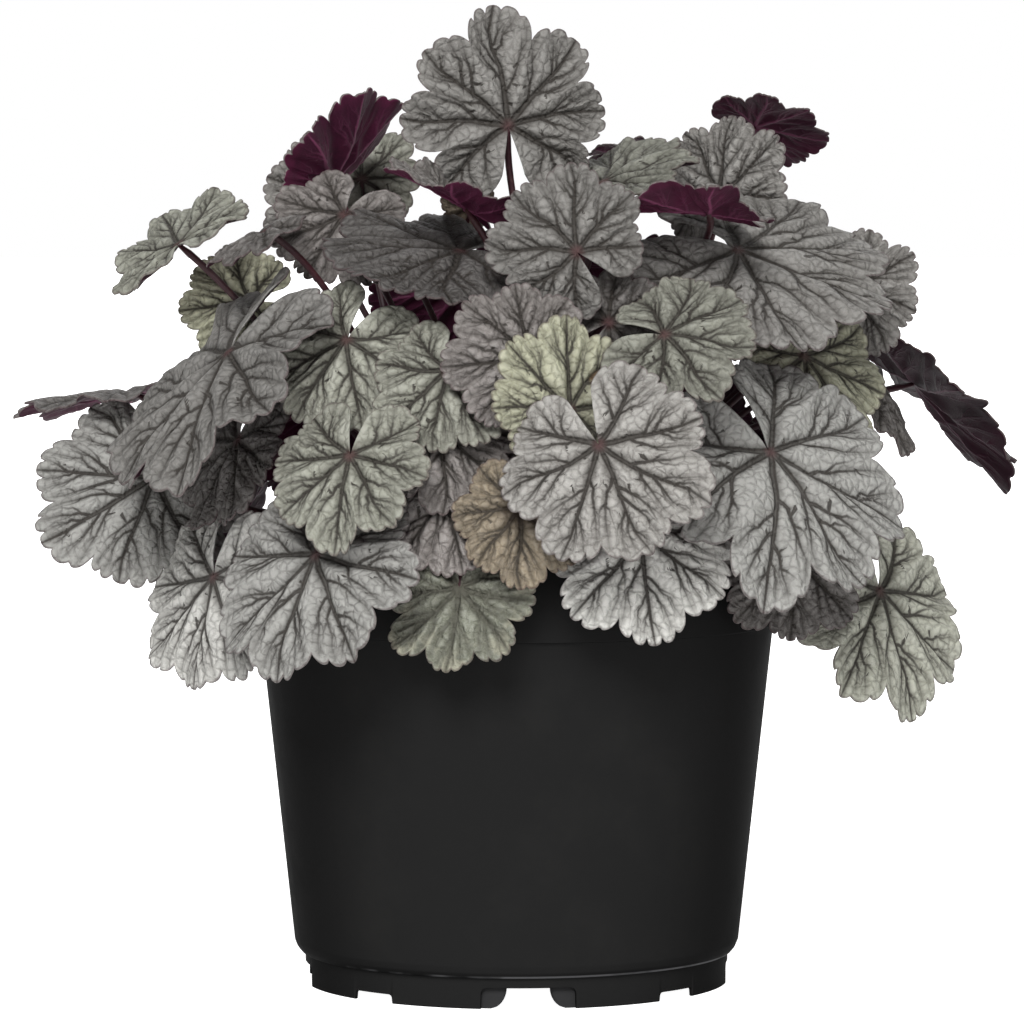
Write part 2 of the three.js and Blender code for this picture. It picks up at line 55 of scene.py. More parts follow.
# ---- The pot's form, the same as the frame's ----
NOTCHES = 8  # drain notches round the foot, wide and narrow in turn
NOTCH_TURN = math.radians(3.2)
WIDE_NOTCH_HEIGHT = 7.5
NARROW_NOTCH_HEIGHT = 3.2
NOTCH_CORNER = 2.2  # radius of a notch's upper corners
NOTCH_DRAFT = 0.15  # how far a notch's sides lean out towards the ground
NOTCH_MARGIN = 0.4  # plain wall between a notch and the next evenly spaced column
SHOULDER_IN = 2.2  # how far the wall turns in above the foot, over SHOULDER_HEIGHT
SHOULDER_HEIGHT = 4.5
SHOULDER_BELLY = (0.5, 2.1)  # how far in, and how high, the middle of its curve stands
SHOULDER_FLARE = 0.5  # how much the wall has widened by the shoulder's top, outside and inside
INNER_FLARE = 0.6
RIM_THICKNESS = 1.8
PLATE_INSET = 3.0  # how far inside the foot's radius the plates' widths are measured
PLATE_GAPS = (0.4, 1.6)  # the plates' outer and inner faces, inside the foot's own wall
PLATE_LAP = 3.0  # how far a plate runs behind its notch's side
PLATE_FREE = (3.2, 6.2)  # how far its free edge reaches into the notch at the ground, and above

# ---- The compost's form, the same as the frame's ----
SOIL_FLOOR = 12.85
SOIL_SIDE = [[76.1, SOIL_FLOOR], [79.0, 17.35], [91.2, 131.0]]  # radii and heights
SOIL_SLOPE_START = 60.0  # the surface falls by SOIL_FALL from here to the wall
SOIL_SLOPE_WIDTH = 31.0
SOIL_FALL = 2.0
HOLE_RADIUS = 27.35  # the hole that holds the crown
HOLE_FLOOR = 123.6
LUMP_WAVES = 26

# ---- The leaves' form, the same as the frame's ----
CROWN_RADIUS = 27.0
CROWN_CENTRE = np.array([0.0, 0.0, 150.0])
CROWN_FLOOR = 124.0
CROWN_SINK = 0.6  # how far the whole dome lies inside the frame's
SWELL = 0.9  # how far it swells about a petiole, and sinks between them
RIPPLE = 0.5
CROWN_SITES = 84
LOWEST_SITE = 0.06
GOLDEN_ANGLE = math.pi * (3 - math.sqrt(5))
PETIOLE_GAP = 0.35
FRAME_THICKNESS = 0.9
PETIOLE_START = 0.35  # the lengths of the petiole's handles, as a part of its reach
PETIOLE_END = 0.3
EARLY_BOW = 0.5  # the part of a petiole's bow that its first handle takes
LEAST_UPWARD = 0.5  # the least that a petiole heads along its blade's normal where they meet,
LEAST_ALONG = 0.4  # and along its midrib
LOBE_ANGLES = np.array([-130, -85, -42, 0, 42, 85, 130.0])  # degrees off the midrib
LOBE_LENGTHS = np.array([0.76, 0.89, 0.98, 1, 0.98, 0.89, 0.76])
SINUS_ANGLES = np.array([-167, -107, -63, -21, 21, 63, 107, 167.0])
SINUS_LENGTHS = np.array([0.52, 0.72, 0.81, 0.86, 0.86, 0.81, 0.72, 0.52])
LOBES = len(LOBE_ANGLES)
LOBE_ROUNDNESS = 3
LOBE_SCATTER = 0.04
LOBE_TURN = 3
DEEPLY_LOBED = {  # how much further in the bays between the lobes reach
    "leaf_top": 0.06,
    "leaf_right_large": 0.06,
    "leaf_right_low": 0.06,
    "leaf_dark_green": 0.06,
    "leaf_left_striped": 0.06,
}
RUFFLE = 0.045
WARP = 0.03

# ---- The leaves' finer detail ----
MANY_TEETH = 5  # rounded teeth along each lobe of a leaf of at least LARGE_LEAF mm
FEW_TEETH = 3
LARGE_LEAF = 25
TOOTH_SCATTER = 0.35
COLUMNS_PER_TOOTH = 8
ZONE_ENDS = (0.22, 0.5, 1.0)  # the blade's columns double from zone to zone
ZONE_RINGS = (5, 6, 11)
BORDER_RING = 0.975  # where the last ring but one lies
PLEAT = 0.014  # how far the blade lies lower along its main veins, as a part of its size
RIB_SPREAD = 1.9  # how much wider the ribs of the underside are than the grooves above them
PETIOLE_SIDES = 12
PETIOLE_RINGS = 26
PETIOLE_FLARE = 7.0  # over what length a petiole widens to its base

# ---- The veins, with places and lengths as parts of the way or of the leaf's size ----
VEIN_STEPS = 6
MAIN_REACH = 0.95  # how far a main vein runs towards its lobe's tip
MAIN_TAPER = (1.12, 0.78)  # its half width at the petiole, and how much it has lost at the tip
SIDE_STARTS = {MANY_TEETH: [0.36, 0.57, 0.76], FEW_TEETH: [0.4, 0.7]}  # along the main vein
SIDE_ENDS = {MANY_TEETH: [0.84, 0.5, 0.22], FEW_TEETH: [0.74, 0.3]}  # from the tip to the bay
SIDE_REACH = 0.93
SIDE_ANGLE = 43  # degrees off the main vein
FORKS = (  # a fork's side, its place on the side vein, its end's shift and its share of the width
    (1, 0.42, 0.17, 0.68),
    (-1, 0.62, 0.13, 0.58),
)
FORK_REACH = 0.9
FORK_ANGLE = 40
TWIG_ANGLE = 58
THINNEST = 0.02

# What sets a tone apart: its star, the strength of its veins and its net, the display colour of
# the patches along its margin, and its blotches (across, up, radius, display colour).
TONE_MARKS = {
    "tan": {"star": ((54, 38, 27), 10, 0.85), "veins": 0.8},
    "moss": {"veins": 0.25, "net": 0.05, "fringe": (182, 180, 160), "star": ((84, 80, 70), 5, 0.3)},
    "yellow": {"spots": [(28.7, 223.4, 3.4, (112, 88, 62))]},
    "green": {"spots": [(-127.0, 278.5, 2.6, (120, 86, 60))]},
}

# The reddish star at the petiole, where a tone has no other: display colour, reach, strength.
STAR = ((96, 52, 56), 3.6, 0.5)

# Linear colours that the chosen ones are mixed towards.
# Pale colour of the speckle, also used for the painted highlight where the blade swells.
SPECKLE_AND_HIGHLIGHT = (0.8, 0.79, 0.76)
MARGIN_LINE = (0.12, 0.03, 0.05)
UNDERSIDE_SHADE = (0.01, 0.004, 0.008)
PETIOLE_SHADE = (0.02, 0.008, 0.012)
PETIOLE_STREAK = (0.3, 0.16, 0.14)
DUST = (0.1, 0.095, 0.085)
INNER_PLASTIC = (0.035, 0.035, 0.036)
# Painted shade where the pot turns away.
PAINTED_SIDE_SHADE = (0.002, 0.002, 0.002)
# Painted highlight along the pot's shoulder edge.
PAINTED_EDGE_HIGHLIGHT = (0.13, 0.13, 0.135)
GRIT = (0.12, 0.1, 0.08)
BLACK = (0, 0, 0)

# What a leaf's ground is multiplied by: partly the leaf's own lighter or darker colour, and partly
# painted light and shade, which make it lighter where light falls on it and darker where it is
# turned away or shaded. The other leaves keep to their tone.
PALENESS_AND_LIGHTING = {
    "leaf_top": 0.88,
    "leaf_top_right": 0.7,
    "leaf_upper_centre": 0.8,
    "leaf_upper_left": 0.62,
    "leaf_left_outlier": 0.95,
    "leaf_left_yellow": 1.5,
    "leaf_left_drooping": 0.7,
    "leaf_left_strip": 0.9,
    "leaf_far_left": 0.88,
    "leaf_low_left": 1.4,
    "leaf_front_left": 0.9,
    "leaf_left_round": 1.15,
    "leaf_centre_front": 1.3,
    "leaf_centre_left": 1.05,
    "leaf_centre_yellow": 1.1,
    "leaf_centre_pink": 1.25,
    "leaf_centre_right": 0.82,
    "leaf_right_top": 0.82,
    "leaf_right_large": 0.9,
    "leaf_right_low": 1.35,
    "leaf_front_low": 1.6,
    "leaf_dark_green": 1.22,
    "leaf_purple_right": 0.4,
    "leaf_purple_top_right": 0.7,
    "leaf_purple_left": 1.5,
    "leaf_purple_band": 1.2,
    "leaf_upper_fold": 1.3,
    "leaf_tan": 0.95,
}

# Each leaf: its name; its side, in degrees round from the front; the point [across, outwards, up]
# where its petiole joins the blade; which way its midrib points, how far it leans out and how far
# it rolls, in degrees; its size from that point to the tip; how strongly it bends along and across
# the midrib; its tone; and how far its petiole bows [across, outwards, up].
NAME, SIDE, JOINT, CLOCK, LEAN, ROLL, SIZE, BEND, CUP, TONE, BOW = range(11)
LEAVES = [
    ["leaf_top", 0, [-3, 6, 311], -5, -5, 12, 43, 0.1, 0.1, "silver", [0, 0, 0]],
    ["leaf_top_right", 0, [31, 2.5, 291], 68, 12, -70, 35, 0.2, 0.0, "green", [0, 0, 0]],
    ["leaf_upper_centre", 0, [21, 83, 267], -45, -4, 5, 32, 0.3, 0.2, "silver", [0, 0, 0]],
    ["leaf_upper_left", 0, [-20, 48, 267], -86, 5, 69, 50, 0.1, 0.15, "dark", [0, 0, 0]],
    ["leaf_upper_fold", 0, [-17.5, 46, 282.2], -55, 33, 98, 34, 0.2, -0.7, "dark", [19, 19, 0]],
    ["leaf_upper_tan", 0, [-17, 4, 281], 10, 0, 30, 13, 0.3, 0.2, "tan", [0, 0, 0]],
    ["leaf_purple_left", 0, [-68, -28, 290], 38, -8, -105, 41, 0.1, -0.8, "dark", [0, 0, 0]],
    ["leaf_behind_purple_left", 0, [-67, -74, 280], -25, -10, 10, 31, 0.2, 0.2, "silver", [-16, 8, 0]],
    ["leaf_small_grey_left", 0, [-58, -70, 291], 45, -15, -20, 24, 0.2, 0.2, "green", [-8, 8, 0]],
    ["leaf_grey_pink_left", 0, [-62, 9, 279], -150, 28, 15, 29, 0.3, 0.2, "pink", [0, 0, 0]],
    ["leaf_left_outlier", 0, [-122.5, 5, 268.5], -34, -72, 0, 33, -0.25, 0.2, "green", [0, 0, 6]],
    ["leaf_left_edge_on", 0, [-90, 30, 274], -116, 5, 84, 24, 0.2, 0.3, "dark", [0, 0, 10]],
    ["leaf_left_yellow", 0, [-97, -14, 247], -98, 5, 15, 26, 0.2, 0.2, "yellow", [0, 0, 0]],
    ["leaf_left_drooping", 0, [-102.5, 50, 231], -134, 5, 70, 62, 0.1, 0.3, "silver", [0, -8, 0]],
    ["leaf_left_strip", 0, [-142, -42, 213], -97, -4, 96, 46, 0.1, 0.1, "dark", [0, 0, 0]],
    ["leaf_far_left", 0, [-131, 4, 184], -120, 14, 28, 46, 0.2, 0.2, "light", [0, 0, 0]],
    ["leaf_left_striped", 0, [-100, 34, 199], -150, 8, 62, 36, 0.1, 0.2, "dark", [0, 0, 0]],
    ["leaf_low_left", 0, [-108, 50, 151], -165, 12, 52, 42, 0.2, 0.2, "light", [0, 0, 16]],
    ["leaf_front_left", 0, [-70, 92, 162], -158, 22, 42, 47, 0.25, 0.2, "light", [0, 0, 6]],
    ["leaf_mid_left", 0, [-58, 98, 197], -163, 28, 28, 34, 0.3, 0.2, "green", [-8, 0, 0]],
    ["leaf_left_round", 0, [-60, 66, 236], -144, 16, 34, 34, 0.3, 0.2, "green", [0, 0, 0]],
    ["leaf_centre_left", 0, [-24, 88, 226], -165, 24, 18, 31, 0.3, 0.2, "green", [0, 0, 0]],
    ["leaf_centre_hidden", 0, [5, 97, 231], -95, 5, 10, 31, 0.2, 0.2, "pink", [0, 0, 0]],
    ["leaf_centre_yellow", 0, [18.5, 104.5, 212.7], -3, -10, 23, 33, 0.1, 0.1, "yellow", [0, 0, 0]],
    ["leaf_centre_front", 0, [28, 126, 202], 158, 20, 5, 42, 0.42, 0.2, "silver", [-8, -8, -10]],
    ["leaf_centre_right", 0, [51, 97, 239], 92, 16, -45, 33, 0.2, 0.2, "green", [0, 0, 0]],
    ["leaf_small_dark", 0, [32, 76.5, 242], 50, -2, -10, 21, 0.2, 0.2, "dark", [-18, 0, 0]],
    ["leaf_right_top", 0, [79, 36, 267], 110, 14, -54, 58, 0.15, 0.25, "silver", [8, -2, 0]],
    ["leaf_right_behind", 0, [121, -11, 251.5], 105, 9, -10, 27, 0.2, 0.2, "silver", [0, 0, 0]],
    ["leaf_right_tinted", 0, [103, 32, 229], 140, 10, -45, 37, 0.2, 0.2, "yellow", [0, 0, 0]],
    ["leaf_right_narrow", 0, [130, -6, 219.5], 150, 9, -76, 30, 0.2, 0.2, "dark", [0, 0, 17]],
    ["leaf_purple_right", 0, [147.5, -44, 216], 135, -4, -99, 54, 0.1, -0.3, "dark", [-16, 23, 6]],
    ["leaf_right_large", 0, [89, 78, 197], 141, 14, -44, 59, 0.2, 0.2, "light", [0, 0, 0]],
    ["leaf_front_low", 0, [43, 104, 172], 172, 12, -10, 40, 0.2, 0.2, "light", [0, 0, 6]],
    ["leaf_tan", 0, [1.7, 109.6, 180], 180, 14, 10, 28, 0.3, 0.3, "tan", [9, 0, -4]],
    ["leaf_centre_pink", 0, [-24, 90, 187], 175, 28, 12, 35, 0.2, 0.2, "pink", [0, 0, -6]],
    ["leaf_dark_green", 0, [-20, 100, 151], -170, 20, 24, 31, 0.1, 0.1, "moss", [0, 8, 30]],
    ["leaf_centre_behind", 0, [-25.4, 88.9, 207], 180, 24, 5, 31, 0.25, 0.2, "pink", [0, 0, 0]],
    ["leaf_right_low", 0, [131, 25, 144], 160, 10, -48, 47, 0.2, 0.2, "green", [0, 0, 20]],
    ["leaf_right_shaded", 0, [98, 60, 160], 178, 10, -15, 32, 0.2, 0.2, "dark", [0, 0, 8]],
    ["leaf_right_upper_grey", 0, [74, -18, 285], 8, -8, -31, 31, 0.2, 0.2, "silver", [0, 0, 0]],
    ["leaf_purple_top_right", 0, [88, -45, 311], 98, 0, -125, 27, 0.1, 0.2, "dark", [0, 0, 0]],
    ["leaf_purple_shaded", 0, [40, -45.5, 301.5], 85, 0, -106, 22, 0.2, 0.2, "dark", [0, 0, 0]],
    ["leaf_purple_band", 0, [67.8, 55, 280.6], -82, 5, 95, 36, 0.2, -0.6, "dark", [0, -36, 24]],
    ["leaf_right_side_low", 110, [0, 106, 164], 172, 16, 0, 42, 0.2, 0.2, "light", [0, 0, 6]],
    ["leaf_back_right_low", 150, [0, 101, 164], -170, 15, -10, 44, 0.2, 0.2, "silver", [0, 0, 6]],
    ["leaf_back_low", 180, [0, 110, 163], 175, 14, 10, 48, 0.2, 0.2, "light", [0, 0, 6]],
    ["leaf_back_left_low", -147, [0, 101, 164], -172, 15, 0, 45, 0.2, 0.2, "silver", [0, 0, 6]],
    ["leaf_left_side_low", -112, [0, 114, 163.5], 170, 16, -10, 44, 0.2, 0.2, "light", [0, 0, 6]],
    ["leaf_right_side", 104, [0, 113, 195], 165, 22, -15, 45, 0.2, 0.2, "silver", [0, 0, 0]],
    ["leaf_back_right", 141, [0, 97, 208], -168, 29, 10, 48, 0.2, 0.2, "green", [0, 0, 0]],
    ["leaf_back", -172, [0, 110, 206], 172, 26, -5, 50, 0.2, 0.2, "silver", [0, 0, 0]],
    ["leaf_back_left", -135, [0, 91, 210], -171, 25, 10, 47, 0.2, 0.2, "pink", [0, 0, 0]],
    ["leaf_back_right_high", 142, [0, 80, 252], 170, 35, -10, 46, 0.2, 0.2, "silver", [0, 0, 0]],
    ["leaf_back_left_high", -165, [0, 73, 252], -172, 35, 10, 42, 0.2, 0.2, "green", [0, 0, 0]],
]


# ---- The stage, in metres ----
FLOOR_REACH = 12
FLOOR_LINES = 13
FLOOR_GLOW = 0.1  # what the floor and surround give the plant; to the camera they are white
SURROUND_GLOW = 0.22
SUNS = (  # name, direction that the light comes from, softness in degrees, strength
    ("key", (-0.16, -0.95, 0.85), 28, 2.8),
    ("fill", (0.15, -1.0, 0.15), 60, 0.6),
    ("back", (0.3, 1.0, 0.7), 50, 0.7),
)
SENSOR_WIDTH = 36  # the sensor and the lens are in mm
LENS = 208.4
CLIP_END = 30
EYE_LEFT = 0.00163  # where the camera stands, from the pot's axis and the ground
EYE_DISTANCE = 2.15
EYE_HEIGHT = 0.31
AIM_HEIGHT = 0.1715


def tint(red, green, blue):
    """A linear colour from display values of 0 to 255."""
    c = np.array([red, green, blue]) / 255
    return tuple(np.where(c < 0.04045, c / 12.92, ((c + 0.055) / 1.055) ** 2.4).tolist())


def colour(name, description, red, green, blue):
    """A colour property."""
    return bpy.props.FloatVectorProperty(
        name=name,
        description=description,
        subtype="COLOR",
        size=3,
        min=0.0,
        max=1.0,
        default=tint(red, green, blue),
    )


def length(name, description, millimetres):
    """A length property, given in millimetres and kept in metres."""
    return bpy.props.FloatProperty(
        name=name,
        description=description,
        default=millimetres * MM,
        unit="LENGTH",
        precision=4,
    )


# ---- What a user would change ----


class HeucheraPotSizes(bpy.types.PropertyGroup):
    """Sizes and colour of the nursery pot."""

    height: length("Height", "From the ground to the lip", 157)
    rim_radius: length("Rim radius", "Radius of the thicker band at the top", 95)
    rim_band: length("Rim band", "Height of the thicker band", 26)
    top_radius: length("Wall radius at the top", "Radius of the wall below the band", 93.4)
    bottom_radius: length("Wall radius at the bottom", "Radius of the wall above the foot", 80.4)
    foot_radius: length("Foot radius", "Radius of the foot ring", 77)
    foot_height: length("Foot height", "Height of the foot ring", 11)
    wall: length("Wall", "Thickness of the plastic", 1.5)
    edge: length("Edge", "Rounding of the moulded edges", 0.5)
    wide_notch: length("Wide notch", "Width of the four wide drain notches", 34)
    narrow_notch: length("Narrow notch", "Width of the four narrow drain notches", 18)
    plastic: colour("Plastic", "Colour of the plastic", 34, 34, 34)


class HeucheraSoilSizes(bpy.types.PropertyGroup):
    """Sizes and colours of the potting compost and the crown."""

    level: length("Level", "Height of the compost's surface", 149)
    crumbs: length("Crumbs", "Height of the largest crumbs", 2.4)
    peat: colour("Peat", "Colour of the compost", 42, 30, 22)
    bark: colour("Bark", "Colour of the crown", 74, 43, 42)


class HeucheraLeafLook(bpy.types.PropertyGroup):
    """Thickness, relief and colours of the leaves."""

    thickness: length("Thickness", "Thickness of a blade", 0.6)
    petiole_radius: length("Petiole radius", "Radius of a petiole at its middle", 1.35)
    petiole_base: length("Petiole base", "Radius of a petiole on the crown", 2.6)
    tooth_depth: bpy.props.FloatProperty(
        name="Tooth depth",
        description="Depth of the notches between rounded teeth, as a part of the leaf's size",
        default=0.05,
        min=0.0,
        max=0.2,
        subtype="FACTOR",
    )
    relief: length("Relief", "How deep the main veins lie in the upper face", 1.3)
    silver: colour("Silver", "Upper face of a silvery leaf", 152, 149, 144)
    light: colour("Light", "Upper face of a pale leaf", 180, 179, 174)
    dark: colour("Dark", "Upper face of a dark leaf", 106, 101, 98)
    green: colour("Green", "Upper face of a greenish leaf", 166, 167, 152)
    yellow: colour("Yellow", "Upper face of a yellowish leaf", 184, 184, 156)
    pink: colour("Pink", "Upper face of a greyish pink leaf", 144, 137, 133)
    tan: colour("Tan", "Upper face of a fading leaf", 170, 154, 128)
    moss: colour("Moss", "Upper face of a green leaf", 116, 119, 102)
    vein: colour("Vein", "Veins on the upper face", 52, 47, 42)
    underside: colour("Underside", "Lower face of every leaf", 72, 24, 48)
    rib: colour("Rib", "Raised ribs on the lower face", 122, 62, 92)
    petiole: colour("Petiole", "Leaf stalks", 66, 26, 34)


# ---- Meshes ----


def new_piece(name, points, triangles, materials, face_material=None):
    """A smooth mesh object at the origin, from points in mm about the pot's axis."""
    mesh = bpy.data.meshes.new(name)
    mesh.from_pydata((points + POT_AXIS) * MM, [], triangles)
    for material in materials:
        mesh.materials.append(material)
    if face_material is not None:
        mesh.polygons.foreach_set("material_index", face_material.astype(np.int32))
    mesh.polygons.foreach_set("use_smooth", np.ones(len(triangles), dtype=bool))
    mesh.update()
    piece = bpy.data.objects.new(name, mesh)
    bpy.context.scene.collection.objects.link(piece)
    return piece


def dress(piece, node):
    """Says what the piece rides on, and hides the part of the frame that it stands for."""
    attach(piece, "root")
    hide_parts(node)


def add_corner_map(mesh, name, values):
    """A UV map with a pair of values for every corner of every triangle."""
    layer = mesh.uv_layers.new(name=name)
    layer.uv.foreach_set("vector", values.astype(np.float32).ravel())


def add_point_value(mesh, name, values):
    """A value for every point of the mesh."""
    attribute = mesh.attributes.new(name, "FLOAT", "POINT")
    attribute.data.foreach_set("value", values.astype(np.float32))


def grid_triangles(rows, columns, closed=False):
    """Two triangles for each cell of a grid of points, row after row."""
    across = columns if closed else columns - 1
    i, j = np.meshgrid(np.arange(rows - 1), np.arange(across), indexing="ij")
    k = (j + 1) % columns
    a, b, c, d = i * columns + j, i * columns + k, (i + 1) * columns + k, (i + 1) * columns + j
    return np.stack([np.stack([a, b, c], -1), np.stack([a, c, d], -1)], -2).reshape(-1, 3)


def turned(radii, heights, angles):
    """A surface of revolution: every point of a profile at its radius and height, at each angle.

    The profile starts and ends on the axis, and runs with the solid on its left. Its radii and
    heights are the same all round, or have a column for each angle.
    """
    count = len(angles)
    r, z = radii[1:-1], heights[1:-1]
    ring = np.stack([np.cos(angles), np.sin(angles)], -1)
    if r.ndim == 1:
        r = np.repeat(r[:, None], count, 1)
        z = np.repeat(z[:, None], count, 1)
    body = np.concatenate([r[..., None] * ring, z[..., None]], -1).reshape(-1, 3)
    ends = np.array([[0, 0, np.ravel(heights[0])[0]], [0, 0, np.ravel(heights[-1])[0]]])
    points = np.concatenate([body, ends])
    rows = len(r)
    faces = grid_triangles(rows, count, closed=True)
    j = np.arange(count)
    k = (j + 1) % count
    first, last = rows * count, rows * count + 1
    start = np.stack([np.full(count, first), k, j], -1)
    finish = np.stack([np.full(count, last), (rows - 1) * count + j, (rows - 1) * count + k], -1)
    return points, np.concatenate([start, faces, finish])


# ---- Leaf form ----


def leaf_axes(row):
    """Unit vectors across the blade, along its midrib and out of its upper face."""
    side, clock, lean, roll = np.radians([row[SIDE], row[CLOCK], row[LEAN], row[ROLL]])
    right = np.array([math.cos(side), math.sin(side), 0])
    outward = np.array([math.sin(side), -math.cos(side), 0])
    up = np.array([0, 0, 1.0])
    flat = math.sin(clock) * right + math.cos(clock) * up
    midrib = math.cos(lean) * flat + math.sin(lean) * outward
    facing = math.cos(lean) * outward - math.sin(lean) * flat
    normal = math.cos(roll) * facing + math.sin(roll) * np.cross(midrib, facing)
    return np.cross(midrib, normal), midrib, normal


def sideways(row, vector):
    """A vector given as [across, outwards, up] from the leaf's side, in the plant's axes."""
    a = math.radians(row[SIDE])
    across, out, up = vector
    return np.array(
        [across * math.cos(a) + out * math.sin(a), across * math.sin(a) - out * math.cos(a), up]
    )


def lobe_tips(seed):
    """Angles in degrees and lengths of a leaf's lobes, each a little off the regular ones."""
    i = np.arange(LOBES)
    angles = LOBE_ANGLES + LOBE_TURN * np.sin(1.9 * i + 2.3 * seed)
    return angles, LOBE_LENGTHS * (1 + LOBE_SCATTER * np.sin(2.4 * i + 1.7 * seed))


def margin(position, teeth, depth, row, seed):
    """Angle and length of the margin at positions along it, from 0 to the number of lobes.

    Between a lobe's tip and its sinus the angle changes evenly, and the length falls as a power of
    the way there. Rounded teeth take a small part off the length, most in the notches between them.
    """
    tips, lengths = lobe_tips(seed)
    bays = SINUS_LENGTHS - DEEPLY_LOBED.get(row[NAME], 0)
    lobe = np.minimum(position.astype(int), LOBES - 1)
    t = 2 * (position - lobe) - 1
    sinus = lobe + (t > 0)
    away = np.abs(t)
    angle = tips[lobe] + (SINUS_ANGLES[sinus] - tips[lobe]) * away
    reach = lengths[lobe] + (bays[sinus] - lengths[lobe]) * away**LOBE_ROUNDNESS
    tooth = (t + 1) / 2 * teeth
    in_tooth = np.abs(2 * (tooth - np.floor(tooth)) - 1)
    uneven = 1 + TOOTH_SCATTER * np.sin(2.3 * np.floor(tooth) + 1.7 * lobe + seed)
    notch = in_tooth**3 * uneven
    return np.radians(angle), reach * (1 - depth * notch)


def blade_height(u, v, s, position, row, seed):
    """Height of the blade above its flat: a droop along and across, a ruffle and a slow warp."""
    size, bend, cup = row[SIZE], row[BEND], row[CUP]
    droop = -(bend * v**2 + cup * u**2) / (2 * size)
    ruffle = RUFFLE * size * s**2 * np.cos(TAU * position + seed)
    return droop + ruffle + WARP * size * s**2 * np.sin(0.9 * position + 2 * seed)


def take_sites():
    """The crown's place for each leaf: the lowest leaf first takes the place nearest to its aim."""
    i = np.arange(CROWN_SITES)
    up = 1 - (i + 0.5) / CROWN_SITES * (1 - LOWEST_SITE)
    out = np.sqrt(1 - up**2)
    sites = np.stack([out * np.cos(i * GOLDEN_ANGLE), out * np.sin(i * GOLDEN_ANGLE), up], -1)
    aims = np.array([sideways(row, row[JOINT]) - CROWN_CENTRE for row in LEAVES])
    aims /= np.linalg.norm(aims, axis=1)[:, None]
    taken = np.zeros((len(LEAVES), 3))
    free = np.ones(CROWN_SITES, dtype=bool)
    for leaf in np.argsort(aims[:, 2], kind="stable"):
        best = np.argmax(np.where(free, sites @ aims[leaf], -2))
        taken[leaf] = sites[best]
        free[best] = False
    return taken


def petiole_route(row, site):
    """The four control points of the petiole's cubic, from the crown to the blade's underside."""
    _, midrib, normal = leaf_axes(row)
    joint = sideways(row, row[JOINT]) - FRAME_THICKNESS * normal
    start = CROWN_CENTRE + (CROWN_RADIUS + PETIOLE_GAP) * site
    reach = np.linalg.norm(joint - start)
    arrive = joint - CROWN_CENTRE
    arrive = arrive / np.linalg.norm(arrive)
    arrive = arrive + max(0, LEAST_UPWARD - arrive @ normal) * normal
    arrive = arrive + max(0, LEAST_ALONG - arrive @ midrib) * midrib
    arrive = arrive / np.linalg.norm(arrive)
    push = sideways(row, row[BOW])
    leave = start + PETIOLE_START * reach * site + EARLY_BOW * push
    near = joint - PETIOLE_END * reach * arrive + push
    return np.array([start, leave, near, joint])


# ---- Veins ----


def polar(angle, radius):
    """Points on the blade's flat from angles off the midrib and distances from the petiole."""
    return np.stack([radius * np.sin(angle), radius * np.cos(angle)], -1)


def bend_between(start, towards, end):
    """Quadratic curves from start to end, drawn towards a third point, one for each row."""
    t = np.linspace(0, 1, VEIN_STEPS + 1)[None, :, None]
    return (1 - t) ** 2 * start[:, None] + 2 * t * (1 - t) * towards[:, None] + t**2 * end[:, None]


def along_routes(routes, fraction):
    """Points and directions a fraction of the way along each route."""
    place = fraction * (routes.shape[1] - 1)
    i = np.minimum(place.astype(int), routes.shape[1] - 2)
    rest = (place - i)[:, None]
    n = np.arange(len(routes))
    a, b = routes[n, i], routes[n, i + 1]
    heading = b - a
    return a + rest * heading, heading / np.linalg.norm(heading, axis=1)[:, None]


def turned_by(heading, angle):
    """Directions turned by angles, clockwise on the blade's flat."""
    c, s = np.cos(angle), np.sin(angle)
    x, y = heading[:, 0], heading[:, 1]
    return np.stack([c * x + s * y, c * y - s * x], -1)


def kinked(routes, rng, amount):
    """Routes whose inner points are shifted a little at random, as a part of each one's length."""
    span = np.linalg.norm(routes[:, -1] - routes[:, 0], axis=1)[:, None, None]
    shift = rng.normal(0, amount, routes.shape) * span
    shift[:, [0, -1]] = 0
    return routes + shift


def beside(count):
    """Lobes, sides, ranks and half lobes of a number of veins on either side of each main vein."""
    grid = np.meshgrid(np.arange(LOBES), [-1, 1], np.arange(count), indexing="ij")
    lobe, side, rank = (axis.ravel() for axis in grid)
    return lobe, side, rank, 2 * lobe + (side > 0)


